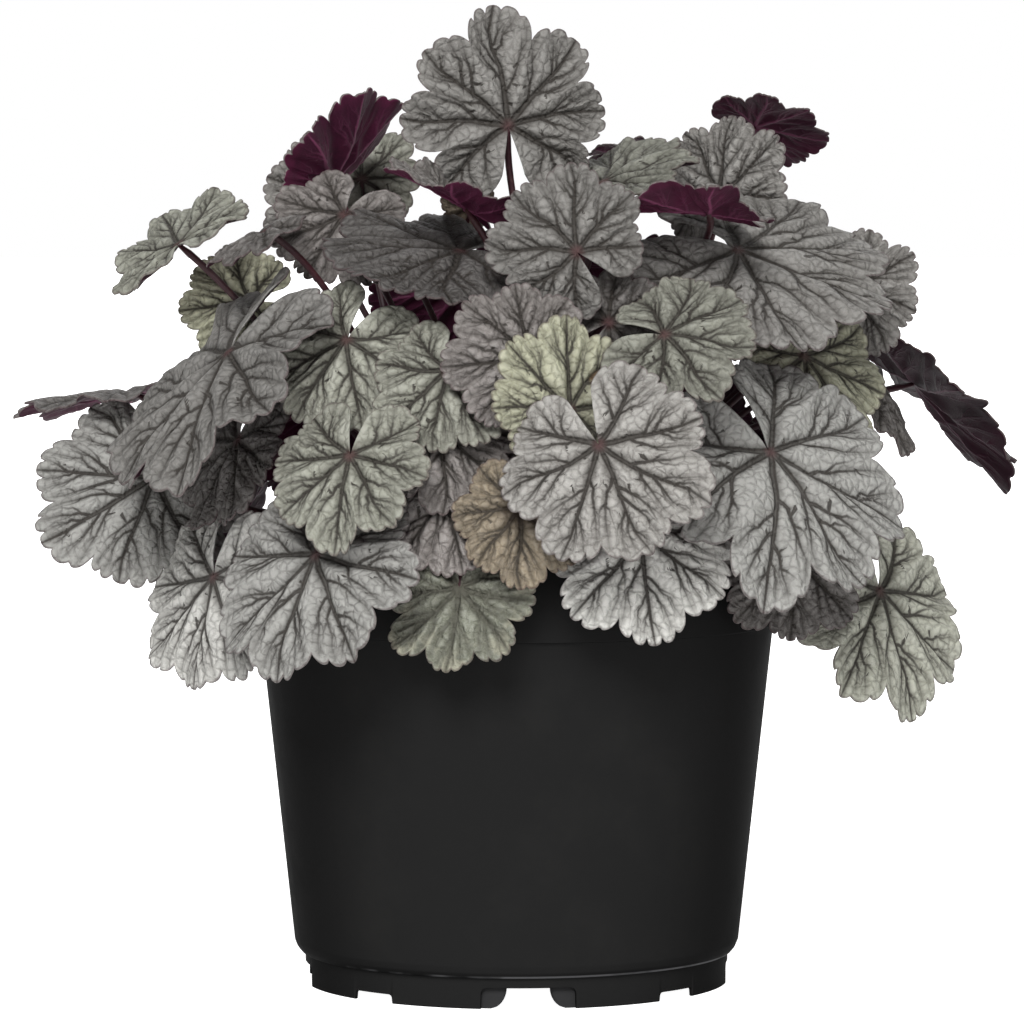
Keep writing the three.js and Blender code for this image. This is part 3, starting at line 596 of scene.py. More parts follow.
class VeinTree:
    """The veins on a blade's flat, in mm, as lists of routes, half widths, half lobes and orders.

    A main vein runs to the tip of each lobe. Side veins leave it in turn on both sides and run to
    the teeth. Each side vein forks on either side, and short twigs fill in along them both. The
    orders are 0 for main veins, 1 for side veins and 2 for finer ones.
    """

    def __init__(self, row, teeth, seed):
        self.row, self.teeth, self.seed, self.size = row, teeth, seed, row[SIZE]
        self.rng = np.random.default_rng(100 + seed)
        self.thick = 0.55 + self.size / 95
        self.way = np.linspace(0, 1, VEIN_STEPS + 1)
        self.kept = []

    def keep(self, routes, wide, narrow, halves, order):
        """Keeps veins that narrow from one half width to another, and to a point at the end."""
        wide, t = wide[:, None], self.way[None]
        widths = wide + (narrow - wide) * t**0.8 - 0.2 * t**5
        self.kept.append((routes, widths, halves, np.full(len(routes), order)))

    def near_margin(self, position, inset):
        """Points at positions along the margin, drawn in towards the petiole."""
        position = np.clip(position, 0.02, LOBES - 0.02)
        angle, reach = margin(position, self.teeth, 0.03, self.row, self.seed)
        return polar(angle, inset * self.size * reach)

    def branches(self, parents, fraction, angle, bend, finish, kink):
        """Routes that leave their parents at an angle and bend over to their ends."""
        root, heading = along_routes(parents, fraction)
        span = np.linalg.norm(finish - root, axis=1)[:, None]
        towards = root + bend * span * turned_by(heading, angle)
        return kinked(bend_between(root, towards, finish), self.rng, kink)

    def main_veins(self):
        """The routes of the main veins, each of which swings and sways a little on its way."""
        t, rng = self.way, self.rng
        tips, lengths = lobe_tips(self.seed)
        swing = np.radians(rng.normal(0, 4, LOBES) + 0.05 * LOBE_ANGLES)
        sway = np.radians(rng.normal(0, 1.8, (LOBES, 1)))
        angle = np.radians(tips)[:, None] - swing[:, None] * (1 - t) + sway * np.sin(TAU * t)
        routes = kinked(polar(angle, MAIN_REACH * self.size * lengths[:, None] * t), rng, 0.004)
        base, loss = MAIN_TAPER
        widths = self.thick * (base - loss * t**0.8)[None] * rng.uniform(0.85, 1.15, (LOBES, 1))
        self.kept.append((routes, widths, 2 * np.arange(LOBES) + 0.5, np.zeros(LOBES, int)))
        return routes

    def side_veins(self, mains):
        """The routes and half widths of the side veins."""
        starts, ends = np.array(SIDE_STARTS[self.teeth]), np.array(SIDE_ENDS[self.teeth])
        lobe, side, rank, half = beside(len(starts))
        jitter = self.rng.uniform(-1, 1, (4, len(lobe)))
        alternate = np.where((lobe + rank) % 2 == 0, 1, -1) * side * 0.05
        fraction = starts[rank] + alternate + 0.03 * jitter[0]
        finish = lobe + 0.5 + side * (ends[rank] + 0.07 * jitter[1]) / 2
        leave = side * np.radians(SIDE_ANGLE + 8 * jitter[2])
        finish = self.near_margin(finish, SIDE_REACH)
        routes = self.branches(mains[lobe], fraction, leave, 0.38, finish, 0.018)
        width = self.thick * (0.72 - 0.24 * fraction) * (1 + 0.2 * jitter[3])
        self.keep(routes, width, 0.2 * self.thick, half, 1)
        return routes, width

    def forks(self, sides, width):
        """A fork on either side of each side vein."""
        ends = np.array(SIDE_ENDS[self.teeth])
        lobe, side, rank, half = beside(len(ends))
        for turn, where, shift, share in FORKS:
            jitter = self.rng.uniform(-1, 1, (3, len(lobe)))
            goal = turn * (shift + 0.04 * jitter[1]) * (1.1 - 0.5 * rank / len(ends))
            goal = np.clip(ends[rank] + goal, -0.1, 0.97)
            finish = self.near_margin(lobe + 0.5 + side * goal / 2, FORK_REACH)
            leave = side * turn * np.radians(FORK_ANGLE + 12 * jitter[2])
            routes = self.branches(sides, where + 0.14 * jitter[0], leave, 0.35, finish, 0.02)
            self.keep(routes, share * width, 0.11 * self.thick, half, 2)

    def twigs(self, parents, fraction, side, reach, half, wide):
        """Short curved twigs that leave their parents to a side."""
        lean, curve = self.rng.uniform(-1, 1, (2, len(parents)))
        root, heading = along_routes(parents, fraction)
        away = turned_by(heading, side * np.radians(TWIG_ANGLE + 18 * lean))
        finish = root + reach[:, None] * turned_by(away, side * np.radians(-30 * curve))
        routes = bend_between(root, root + 0.5 * reach[:, None] * away, finish)
        self.keep(kinked(routes, self.rng, 0.03), wide, THINNEST, half, 2)

    def side_twigs(self, sides, width):
        """A twig on each side vein, on the side towards its lobe's tip."""
        _, side, _, half = beside(len(SIDE_ENDS[self.teeth]))
        reach = self.size * self.rng.uniform(0.04, 0.1, len(sides))
        fraction = 0.3 + self.rng.uniform(-0.1, 0.1, len(sides))
        self.twigs(sides, fraction, -side, reach, half, 0.5 * width)

    def main_twigs(self, mains):
        """Two twigs on either side of each main vein."""
        lobe, side, rank, half = beside(2)
        fraction = 0.22 + 0.3 * rank + 0.05 * self.rng.uniform(-1, 1, len(lobe))
        reach = self.size * self.rng.uniform(0.05, 0.13, len(lobe)) * np.where(rank == 0, 0.6, 1)
        wide = np.full(len(lobe), 0.24 * self.thick)
        self.twigs(mains[lobe], fraction, side, reach, half, wide)


def vein_tree(row, teeth, seed):
    """A grown vein tree as arrays: routes, half widths, half lobes and orders."""
    tree = VeinTree(row, teeth, seed)
    mains = tree.main_veins()
    sides, width = tree.side_veins(mains)
    tree.forks(sides, width)
    tree.side_twigs(sides, width)
    tree.main_twigs(mains)
    return [np.concatenate(parts) for parts in zip(*tree.kept)]


def vein_cover(points, routes, widths):
    """How far each point is inside each vein, in mm, as [points, veins, steps].

    It is the half width at the nearest place of each straight step, less the distance to it. A
    point behind a vein's own start counts as outside.
    """
    start, along = routes[:, :-1], np.diff(routes, axis=1)
    square = (along**2).sum(-1)
    offset = points[:, None, None] - start[None]
    t = (offset * along).sum(-1) / square
    behind = np.zeros_like(t)
    behind[:, :, 0] = np.maximum(0, -t[:, :, 0]) * np.sqrt(square[:, 0])
    t = np.clip(t, 0, 1)
    gap = np.linalg.norm(offset - t[..., None] * along, axis=-1)
    return widths[:, :-1] + np.diff(widths, axis=1) * t - gap - 2 * behind


def vein_maps(corners, half_of_face, tree):
    """For every corner, its place beside the nearest and the next vein of its triangle.

    A place is the distance off the vein's line, signed by its side, and the vein's half width
    there. Both change evenly over a triangle, so the veins stay sharp between points.
    """
    routes, widths, halves, _ = tree
    places = np.zeros((2, len(corners), 3, 2))
    middle = corners.mean(1)
    for half in range(2 * LOBES):
        faces = np.flatnonzero(half_of_face == half)
        veins = np.flatnonzero(np.abs(halves - half) <= 1.5)
        cover = vein_cover(middle[faces], routes[veins], widths[veins])
        best_step = cover.argmax(2)
        best = cover.max(2)
        for rank in range(2):
            vein = best.argmax(1)
            n = np.arange(len(faces))
            step = best_step[n, vein]
            a = routes[veins[vein], step]
            along = routes[veins[vein], step + 1] - a
            span = np.linalg.norm(along, axis=1)[:, None]
            along = along / span
            offset = corners[faces] - a[:, None]
            off_line = offset[..., 0] * along[:, None, 1] - offset[..., 1] * along[:, None, 0]
            t = (offset * along[:, None]).sum(-1) / span
            w0, w1 = widths[veins[vein], step], widths[veins[vein], step + 1]
            places[rank, faces] = np.stack([off_line, w0[:, None] + (w1 - w0)[:, None] * t], -1)
            best[n, vein] = -np.inf
    return places


def vein_distances(points, tree):
    """Distances from the nearest main vein and from the nearest side vein, in mm."""
    routes, widths, _, orders = tree
    bare = np.zeros_like(widths)
    main = -vein_cover(points, routes[orders == 0], bare[orders == 0]).max((1, 2))
    sides = -vein_cover(points, routes[orders == 1], bare[orders == 1]).max((1, 2))
    return main, sides


# ---- Blade and petiole ----


def blade_rings(teeth, coarse):
    """Distances outwards and column counts of the blade's rings, from the petiole to the margin.

    The columns double from zone to zone, so the triangles stay of about one size. The coarse
    version has half as many, except along the margin.
    """
    per_lobe = teeth * COLUMNS_PER_TOOTH
    rings = []
    inner = 0.0
    for zone, (outer, count) in enumerate(zip(ZONE_ENDS, ZONE_RINGS)):
        columns = LOBES * per_lobe // 2 ** (len(ZONE_ENDS) - 1 - zone)
        for i in range(1, count + 1):
            rings.append((inner + (outer - inner) * i / count, columns))
        inner = outer
    rings[-2] = (BORDER_RING, rings[-2][1])
    if coarse:
        rings = [(s, columns // 2) for s, columns in rings[:-1]] + [rings[-1]]
    return rings


def ring_triangles(inner, outer, inner_columns, outer_columns):
    """Triangles between two rings of points, of equal columns or one twice as many."""
    if inner_columns == outer_columns:
        j = np.arange(inner_columns)
        a, b, c, d = inner + j, inner + j + 1, outer + j + 1, outer + j
        return np.concatenate([np.stack([a, b, c], -1), np.stack([a, c, d], -1)])
    j = np.arange(inner_columns)
    a, b = inner + j, inner + j + 1
    c, d, e = outer + 2 * j, outer + 2 * j + 1, outer + 2 * j + 2
    return np.concatenate([np.stack([a, d, c], -1), np.stack([a, b, d], -1), np.stack([b, e, d], -1)])


def blade_sheet(teeth, coarse):
    """A flat fan of rings about the petiole: positions, distances outwards, triangles, border.

    The border runs from the petiole out along one side of the sinus, round the margin and back.
    """
    rings = blade_rings(teeth, coarse)
    position, outwards = [np.array([LOBES / 2])], [np.zeros(1)]
    offsets, total = [], 1
    for s, columns in rings:
        position.append(LOBES * np.arange(columns + 1) / columns)
        outwards.append(np.full(columns + 1, s))
        offsets.append(total)
        total += columns + 1
    j = np.arange(rings[0][1])
    faces = [np.stack([np.zeros_like(j), offsets[0] + j + 1, offsets[0] + j], -1)]
    for i in range(1, len(rings)):
        faces.append(ring_triangles(offsets[i - 1], offsets[i], rings[i - 1][1], rings[i][1]))
    offsets = np.array(offsets)
    ends = offsets + np.array([columns for _, columns in rings])
    outline = np.arange(offsets[-1], ends[-1] + 1)
    border = np.concatenate([[0], offsets[:-1], outline, ends[:-1][::-1], [0]])
    return np.concatenate(position), np.concatenate(outwards), np.concatenate(faces), border


def blade_relief(flat, s, position, size, tree, relief, spread):
    """Relief of the upper face: grooves along the veins, swellings between them and pleats.

    The pleats run between the main veins, and the margin turns down. The grooves are spread wider
    by a factor on the underside, where they stand out as ribs.
    """
    main, sides = vein_distances(flat, tree)
    scale = 0.6 + size / 110
    nearest = np.minimum(main, sides)
    groove = np.exp(-((main / (1.3 * spread * scale)) ** 2))
    groove = groove + 0.55 * np.exp(-((sides / (spread * scale)) ** 2))
    swell = 1 - np.exp(-((nearest / (3.2 * scale)) ** 2))
    fade = np.clip(s / 0.12, 0, 1) * (1 - 0.5 * s**8)
    pleat = PLEAT * size * np.cos(TAU * position) * s * (1 - 0.6 * s**3)
    return relief * scale * fade * (swell - 0.7 * groove) + pleat, main, sides


def blade_curl(s, position, size, teeth, seed):
    """How the margin curls: down unevenly, up and down from tooth to tooth, and in slow waves."""
    curl = -0.012 * size * s**10 * (1.3 + np.sin(5 * TAU * position / 2 + seed))
    curl = curl + 0.005 * size * s**8 * np.cos(TAU * teeth * position)
    return curl + 0.02 * size * s**3 * np.sin(TAU * position * 3 / LOBES + 2.7 * seed)


def blade_form(row, seed, look, tree, teeth, coarse):
    """One of a blade's two sheets: its fan, and each point's place on the flat and height."""
    size = row[SIZE]
    position, s, faces, border = blade_sheet(teeth, coarse)
    angle, reach = margin(position, teeth, look.tooth_depth, row, seed)
    flat = polar(angle, size * reach * s)
    height = blade_height(flat[:, 0], flat[:, 1], s, position, row, seed)
    spread = RIB_SPREAD if coarse else 1.0
    relief, main, sides = blade_relief(flat, s, position, size, tree, look.relief / MM, spread)
    height = height + relief + blade_curl(s, position, size, teeth, seed)
    if coarse:
        height = height - look.thickness / MM
    return {
        "faces": faces,
        "border": border,
        "position": position,
        "points": np.column_stack([flat, height]),
        "main_mm": main,
        "side_mm": sides,
        "margin_mm": size * reach * (1 - s),
    }


def blade_mesh(row, seed, look):
    """A closed blade in its own axes, its faces' materials, and what its markings follow.

    A fine upper sheet and a coarser lower one, a thickness apart, are joined by a narrow rim.
    """
    teeth = MANY_TEETH if row[SIZE] >= LARGE_LEAF else FEW_TEETH
    tree = vein_tree(row, teeth, seed)
    upper, lower = (blade_form(row, seed, look, tree, teeth, coarse) for coarse in (False, True))
    both = {key: np.concatenate([upper[key], lower[key]]) for key in upper}
    count = len(upper["points"])
    top_edge, low_edge = upper["border"], lower["border"] + count
    a, b, c, d = top_edge[:-1], top_edge[1:], low_edge[1:], low_edge[:-1]
    rim = np.concatenate([np.stack([a, b, c], -1), np.stack([a, c, d], -1)])
    triangles = np.concatenate([upper["faces"], lower["faces"][:, ::-1] + count, rim])
    material = np.repeat([0, 1, 0], [len(upper["faces"]), len(lower["faces"]), len(rim)])
    corners = both["points"][triangles][..., :2]
    half = (2 * both["position"][triangles[:, 1:]].mean(1)).astype(int)
    nearest, following = vein_maps(corners, np.clip(half, 0, 2 * LOBES - 1), tree)
    maps = {"vein_near": nearest, "vein_next": following, "flat": corners}
    values = {key: both[key] for key in ("main_mm", "side_mm", "margin_mm")}
    return both["points"], triangles, material, maps, values


def tube(route, radii, sides):
    """A round closed tube about a route, its side direction carried along without twisting."""
    heading = np.gradient(route, axis=0)
    heading /= np.linalg.norm(heading, axis=1)[:, None]
    side = np.zeros_like(route)
    last = np.array([1.0, 0.3, 0.2])
    for i, along in enumerate(heading):
        last = last - (last @ along) * along
        last = last / np.linalg.norm(last)
        side[i] = last
    other = np.cross(heading, side)
    a = TAU * np.arange(sides) / sides
    ring = np.cos(a)[None, :, None] * side[:, None] + np.sin(a)[None, :, None] * other[:, None]
    body = (route[:, None] + radii[:, None, None] * ring).reshape(-1, 3)
    points = np.concatenate([body, route[:1], route[-1:]])
    rows = len(route)
    j = np.arange(sides)
    k = (j + 1) % sides
    low, high, edge = rows * sides, rows * sides + 1, (rows - 1) * sides
    start = np.stack([np.full(sides, low), k, j], -1)
    finish = np.stack([np.full(sides, high), edge + j, edge + k], -1)
    return points, np.concatenate([grid_triangles(rows, sides, closed=True), start, finish])


def petiole_mesh(route, look):
    """A petiole: wider where it clasps the crown, and rounded off inside its blade."""
    t = np.linspace(0, 1, PETIOLE_RINGS)[:, None]
    a, b, c, d = route
    centre = (1 - t) ** 3 * a + 3 * t * (1 - t) ** 2 * b + 3 * t**2 * (1 - t) * c + t**3 * d
    middle, base = look.petiole_radius / MM, look.petiole_base / MM
    way = t[:, 0] * np.linalg.norm(d - a)
    waist = 0.12 * middle * np.sin(math.pi * t[:, 0])
    radii = middle + (base - middle) * np.exp(-way / PETIOLE_FLARE) - waist
    radii[0] *= 0.75
    radii[-1] *= 0.55
    return tube(centre, radii, PETIOLE_SIDES)


# ---- Shader nodes ----


class Graph:
    """Adds nodes to a tree and links them."""

    def __init__(self, tree):
        self.tree = tree

    def put(self, socket, value):
        """Links a socket to another, or sets its value."""
        if isinstance(value, bpy.types.NodeSocket):
            self.tree.links.new(value, socket)
        elif isinstance(value, tuple) and len(value) == 3 and socket.type == "RGBA":
            socket.default_value = (*value, 1)
        else:
            socket.default_value = value

    def node(self, kind, inputs=None, **settings):
        """A node with settings, and with inputs given by name or number."""
        node = self.tree.nodes.new(kind)
        for key, value in settings.items():
            setattr(node, key, value)
        for key, value in (inputs or {}).items():
            self.put(node.inputs[key], value)
        return node

    def math(self, operation, *values):
        """The result of a math node."""
        return self.node("ShaderNodeMath", dict(enumerate(values)), operation=operation).outputs[0]

    def times(self, first, second, extra=None):
        """One value times another, and a third added where there is one."""
        if extra is None:
            return self.math("MULTIPLY", first, second)
        return self.math("MULTIPLY_ADD", first, second, extra)

    def vector(self, operation, first, second=None, output=0):
        """The result of a vector math node."""
        inputs = {0: first} if second is None else {0: first, 1: second}
        return self.node("ShaderNodeVectorMath", inputs, operation=operation).outputs[output]

    def scaled(self, vector, factor):
        """A vector or colour times a value."""
        inputs = {0: vector, "Scale": factor}
        return self.node("ShaderNodeVectorMath", inputs, operation="SCALE").outputs[0]

    def parts(self, vector):
        """The three parts of a vector."""
        return self.node("ShaderNodeSeparateXYZ", {0: vector}).outputs

    def step(self, value, low, high, to_low=0.0, to_high=1.0):
        """A smooth step between two values."""
        inputs = {"Value": value, "From Min": low, "From Max": high, "To Min": to_low, "To Max": to_high}
        node = self.node("ShaderNodeMapRange", inputs, interpolation_type="SMOOTHSTEP")
        return node.outputs["Result"]

    def mix(self, factor, first, second):
        """One colour mixed into another."""
        node = self.node("ShaderNodeMix", data_type="RGBA")
        for index, value in ((0, factor), (6, first), (7, second)):
            self.put(node.inputs[index], value)
        return node.outputs[2]

    def noise(self, vector, scale, detail=3.0, roughness=0.55, distortion=0.0, output="Fac"):
        """A noise about one half, of so many waves to a metre, or to a mm on a flat map."""
        inputs = {
            "Vector": vector,
            "Scale": scale,
            "Detail": detail,
            "Roughness": roughness,
            "Distortion": distortion,
        }
        return self.node("ShaderNodeTexNoise", inputs).outputs[output]

    def group(self, name, inputs):
        """The outputs of a node group placed in this tree."""
        return self.node("ShaderNodeGroup", inputs, node_tree=bpy.data.node_groups[name]).outputs

    def mapped(self, name):
        """A UV map of the piece."""
        return self.node("ShaderNodeUVMap", uv_map=name).outputs[0]

    def measured(self, name):
        """A value kept at the piece's points."""
        return self.node("ShaderNodeAttribute", attribute_name=name).outputs["Fac"]

    def place(self):
        """Object coordinates, in metres."""
        return self.node("ShaderNodeTexCoord").outputs["Object"]

    def bump(self, shader, height, strength, distance):
        """Bumps the shader's surface: a height of 1 stands for the distance, in metres."""
        inputs = {"Height": height, "Strength": strength, "Distance": distance}
        self.put(shader["Normal"], self.node("ShaderNodeBump", inputs).outputs[0])


def new_group(name, inputs, outputs):
    """A shader node group that puts out values: its graph, inputs and outputs.

    An input without a default value is a vector. Where the group is there already, it gives None.
    """
    if name in bpy.data.node_groups:
        return None
    tree = bpy.data.node_groups.new(name, "ShaderNodeTree")
    for label, value in inputs.items():
        kind = "NodeSocketVector" if value is None else "NodeSocketFloat"
        socket = tree.interface.new_socket(label, in_out="INPUT", socket_type=kind)
        if value is not None:
            socket.default_value = value
    for label in outputs:
        tree.interface.new_socket(label, in_out="OUTPUT", socket_type="NodeSocketFloat")
    graph = Graph(tree)
    return graph, graph.node("NodeGroupInput").outputs, graph.node("NodeGroupOutput").inputs


def vein_group():
    """Vein masks from a point's places beside its two nearest veins.

    Vein is 1 inside either vein. The second mask is 1 along the middle of a thick one, where a
    painted highlight lies along its raised crest. Edge is 1 in a narrow band beside one.
    """
    inputs = {"Near": None, "Next": None, "Flat": None, "Ragged": 0.35, "Soft": 0.3}
    made = new_group("Leaf veins", inputs, ("Vein", "Core", "Edge"))
    if made is None:
        return
    graph, source, sink = made
    shake = graph.math("SUBTRACT", graph.noise(source["Flat"], scale=1.1, detail=2), 0.5)
    shake = graph.times(shake, source["Ragged"])
    low = graph.times(source["Soft"], -1.0)
    covers, highlights, masks = [], [], []
    for name in ("Near", "Next"):
        off_line, half_width, _ = graph.parts(source[name])
        off_line = graph.math("ABSOLUTE", off_line)
        cover = graph.math("ADD", graph.math("SUBTRACT", half_width, off_line), shake)
        mask = graph.step(cover, low, source["Soft"])
        masks.append(graph.times(mask, graph.step(half_width, 0.08, 0.5, 0.34, 1.0)))
        thick = graph.step(half_width, 0.45, 0.9)
        ratio = graph.math("DIVIDE", off_line, graph.math("MAXIMUM", half_width, 0.05))
        highlights.append(graph.times(thick, graph.step(ratio, 0.1, 0.6, 1.0, 0.0)))
        covers.append(cover)
    graph.put(sink["Vein"], graph.math("MAXIMUM", *masks))
    graph.put(sink["Core"], graph.math("MAXIMUM", *highlights))
    graph.put(sink["Edge"], graph.step(graph.math("MAXIMUM", *covers), -1.3, 0.1))


def blade_surface_group():
    """The blade's own texture: Patches, Speckle, the finest Net of veins, Pebble and Grain.

    Pebble rises to the middle of each mesh of the net.
    """
    outputs = ("Patches", "Speckle", "Net", "Pebble", "Grain")
    made = new_group("Blade surface", {"Flat": None, "Place": None}, outputs)
    if made is None:
        return
    graph, source, sink = made
    flat = source["Flat"]
    patches = graph.noise(source["Place"], scale=62, detail=4, roughness=0.6, distortion=0.4)
    graph.put(sink["Patches"], graph.step(patches, 0.36, 0.66))
    speckle = graph.noise(flat, scale=1.7, detail=4, roughness=0.75)
    graph.put(sink["Speckle"], graph.step(speckle, 0.36, 0.68))
    warp = graph.noise(flat, scale=0.35, detail=4, roughness=0.5, output="Color")
    shifted = {0: warp, 1: (3.4, 3.4, 0.0), 2: flat}
    shifted = graph.node("ShaderNodeVectorMath", shifted, operation="MULTIPLY_ADD").outputs[0]
    cells = graph.node(
        "ShaderNodeTexVoronoi",
        {"Vector": shifted, "Scale": 0.3, "Randomness": 1.0},
        voronoi_dimensions="2D",
        feature="DISTANCE_TO_EDGE",
    ).outputs["Distance"]
    line = graph.step(cells, 0.0, 0.18, 1.0, 0.0)
    broken = graph.step(graph.noise(flat, scale=0.25, detail=2), 0.32, 0.56, 0.15, 1.0)
    graph.put(sink["Pebble"], graph.step(cells, 0.04, 0.42))
    graph.put(sink["Net"], graph.times(line, broken))
    graph.put(sink["Grain"], graph.noise(flat, scale=3.2, roughness=0.65))


# ---- Materials ----


def new_material(name):
    """A material with a bare Principled shader: the material, its graph and the shader's inputs."""
    material = bpy.data.materials.new(name)
    material.use_nodes = True
    material.node_tree.nodes.clear()
    graph = Graph(material.node_tree)
    shader = graph.node("ShaderNodeBsdfPrincipled")
    output = graph.node("ShaderNodeOutputMaterial")
    graph.put(output.inputs["Surface"], shader.outputs[0])
    return material, graph, shader.inputs


def blend_tint(a, b, part):
    """A colour part of the way from one to another."""
    return tuple(x + (y - x) * part for x, y in zip(a, b))


def spot(graph, where, x, z, radius):
    """A blotch's mask: 1 near a point of the plant's front, given in mm, with a ragged edge."""
    off = graph.parts(graph.vector("SUBTRACT", where, (x * MM, 0.0, z * MM)))
    reach = graph.math("SQRT", graph.times(off[0], off[0], graph.math("POWER", off[2], 2.0)))
    front = graph.step(off[1], -0.07, 0.03, 1.0, 0.0)
    ragged = graph.times(graph.noise(where, scale=500), 0.004, reach)
    edge = (radius + 2) * MM
    return graph.times(front, graph.step(ragged, 0.4 * edge, edge, 1.0, 0.0))


def blade_nodes(graph):
    """What both faces of a blade follow: its flat map, the vein masks and its surface."""
    flat = graph.mapped("flat")
    places = {"Near": graph.mapped("vein_near"), "Next": graph.mapped("vein_next"), "Flat": flat}
    veins = graph.group("Leaf veins", places)
    return flat, veins, graph.group("Blade surface", {"Flat": flat, "Place": graph.place()})


def blade_ground(graph, surface, look, tone, main, sides):
    """The colour between the veins: mottled, speckled and netted, with a painted highlight where the
    blade swells between the veins and in the middle of each mesh of the net.
    """
    base, vein = tuple(getattr(look, tone)), tuple(look.vein)
    marks = TONE_MARKS.get(tone, {})
    deep, pale = blend_tint(base, vein, 0.3), blend_tint(base, SPECKLE_AND_HIGHLIGHT, 0.32)
    ground = graph.mix(graph.times(surface["Patches"], 0.7), base, deep)
    ground = graph.mix(graph.times(surface["Speckle"], 0.5), ground, pale)
    # Painted highlight: paler where the blade swells between the veins and in the middle of each mesh of
    # the net.
    puffed_highlight = graph.times(graph.step(sides, 1.0, 4.5), graph.step(main, 1.0, 5.0))
    puffed_highlight = graph.times(surface["Pebble"], 0.3, graph.times(puffed_highlight, 0.25))
    ground = graph.mix(puffed_highlight, ground, pale)
    if "fringe" in marks:
        patchy = graph.step(graph.noise(graph.place(), scale=130), 0.45, 0.6)
        outer = graph.step(graph.measured("margin_mm"), 1.5, 11.0, 0.75, 0.0)
        ground = graph.mix(graph.times(patchy, outer), ground, tint(*marks["fringe"]))
    return graph.mix(graph.times(surface["Net"], marks.get("net", 0.3)), ground, vein)


def vein_halo(graph, ground, look, tone, centre, main, sides, beside):
    """Darkens the ground beside the veins, partly the leaf's own darker colour there and partly painted
    shade along the sunken veins, and furthest out beside the main ones at the petiole.
    """
    shade = blend_tint(tuple(getattr(look, tone)), tuple(look.vein), 0.78)
    reach = graph.step(centre, 2.0, 26.0, 4.6, 2.1)
    main_halo = graph.step(graph.math("DIVIDE", main, reach), 0.08, 1.0, 0.68, 0.0)
    side_halo = graph.step(sides, 0.1, 2.0, 0.42, 0.0)
    # Partly the leaf's own darker colour beside the veins, partly painted shade along the sunken veins.
    ground = graph.mix(graph.math("MAXIMUM", main_halo, side_halo), ground, shade)
    return graph.mix(graph.times(beside, 0.16), ground, shade)


def upper_face(look, tone):
    """The upper face of a blade: silver patches between dark veins, with a reddish star.

    Each tone has its own ground, star and blotches.
    """
    material, graph, shader = new_material("Leaf upper " + tone)
    base, vein = tuple(getattr(look, tone)), tuple(look.vein)
    marks = TONE_MARKS.get(tone, {})
    flat, veins, surface = blade_nodes(graph)
    main, sides = graph.measured("main_mm"), graph.measured("side_mm")
    centre = graph.vector("LENGTH", flat, output="Value")
    ground = blade_ground(graph, surface, look, tone, main, sides)
    ground = vein_halo(graph, ground, look, tone, centre, main, sides, veins["Edge"])
    # Painted light and shade: the ground is scaled by a value per leaf, partly its own colour and partly
    # how brightly it is lit.
    ground = graph.scaled(ground, graph.measured("paleness"))
    lined = graph.mix(graph.times(veins["Vein"], marks.get("veins", 0.92)), ground, vein)
    # Painted highlight along the middle of the thick veins, where their raised crests would catch the
    # light.
    lined = graph.mix(graph.times(veins["Core"], 0.22), lined, blend_tint(vein, base, 0.5))
    rim = graph.step(graph.measured("margin_mm"), 0.1, 1.1, 0.5, 0.0)
    lined = graph.mix(rim, lined, blend_tint(vein, MARGIN_LINE, 0.4))
    star_colour, star_reach, star_strength = marks.get("star", STAR)
    ragged = graph.times(graph.noise(flat, scale=0.5), 0.5 * star_reach, centre)
    star = graph.step(ragged, 0.3 * star_reach, 1.3 * star_reach, star_strength, 0.0)
    lined = graph.mix(star, lined, tint(*star_colour))
    for x, z, radius, blotch in marks.get("spots", ()):
        mask = graph.times(spot(graph, graph.place(), x, z, radius), 0.8)
        lined = graph.mix(mask, lined, tint(*blotch))
    graph.put(shader["Base Color"], lined)
    graph.put(shader["Roughness"], graph.times(surface["Speckle"], 0.12, 0.48))
    shader["Specular IOR Level"].default_value = 0.4
    depth = graph.times(veins["Vein"], -1.0, graph.times(surface["Net"], -0.7))
    for name, height in (("Grain", 0.7), ("Speckle", 0.35), ("Pebble", 1.1)):
        depth = graph.times(surface[name], height, depth)
    graph.bump(shader, depth, 0.9, 0.00042)
    return material


def lower_face(look):
    """The underside: burgundy, darker in patches, with paler raised ribs."""
    material, graph, shader = new_material("Leaf underside")
    under, rib = tuple(look.underside), tuple(look.rib)
    _, veins, surface = blade_nodes(graph)
    ground = graph.mix(surface["Patches"], under, blend_tint(under, UNDERSIDE_SHADE, 0.55))
    ground = graph.mix(graph.times(surface["Speckle"], 0.25), ground, blend_tint(under, rib, 0.35))
    main = graph.step(graph.measured("main_mm"), 0.2, 1.2, 1.0, 0.0)
    lined = graph.mix(graph.times(veins["Vein"], graph.times(main, 0.6, 0.25)), ground, rib)
    # Painted light and shade: the colour is scaled by a value per leaf, partly its own colour and partly
    # how brightly it is lit.
    graph.put(shader["Base Color"], graph.scaled(lined, graph.measured("paleness")))
    graph.put(shader["Roughness"], graph.times(surface["Speckle"], 0.15, 0.5))
    shader["Specular IOR Level"].default_value = 0.25
    graph.bump(shader, graph.times(surface["Grain"], 0.2, veins["Vein"]), 0.7, 0.0004)
    return material


def petiole_skin(look):
    """Petioles: dark reddish purple, with fine paler streaks and a slightly rough skin."""
    material, graph, shader = new_material("Petiole skin")
    skin = tuple(look.petiole)
    where = graph.place()
    streaks = graph.noise(where, scale=420, roughness=0.6, distortion=0.6)
    broad = graph.step(graph.noise(where, scale=45, detail=2), 0.35, 0.7)
    ground = graph.mix(broad, skin, blend_tint(skin, PETIOLE_SHADE, 0.7))
    paler = graph.step(streaks, 0.5, 0.8, 0.0, 0.35)
    graph.put(shader["Base Color"], graph.mix(paler, ground, blend_tint(skin, PETIOLE_STREAK, 0.5)))
    graph.put(shader["Roughness"], graph.times(streaks, 0.25, 0.4))
    graph.bump(shader, streaks, 0.5, 0.0003)
    return material


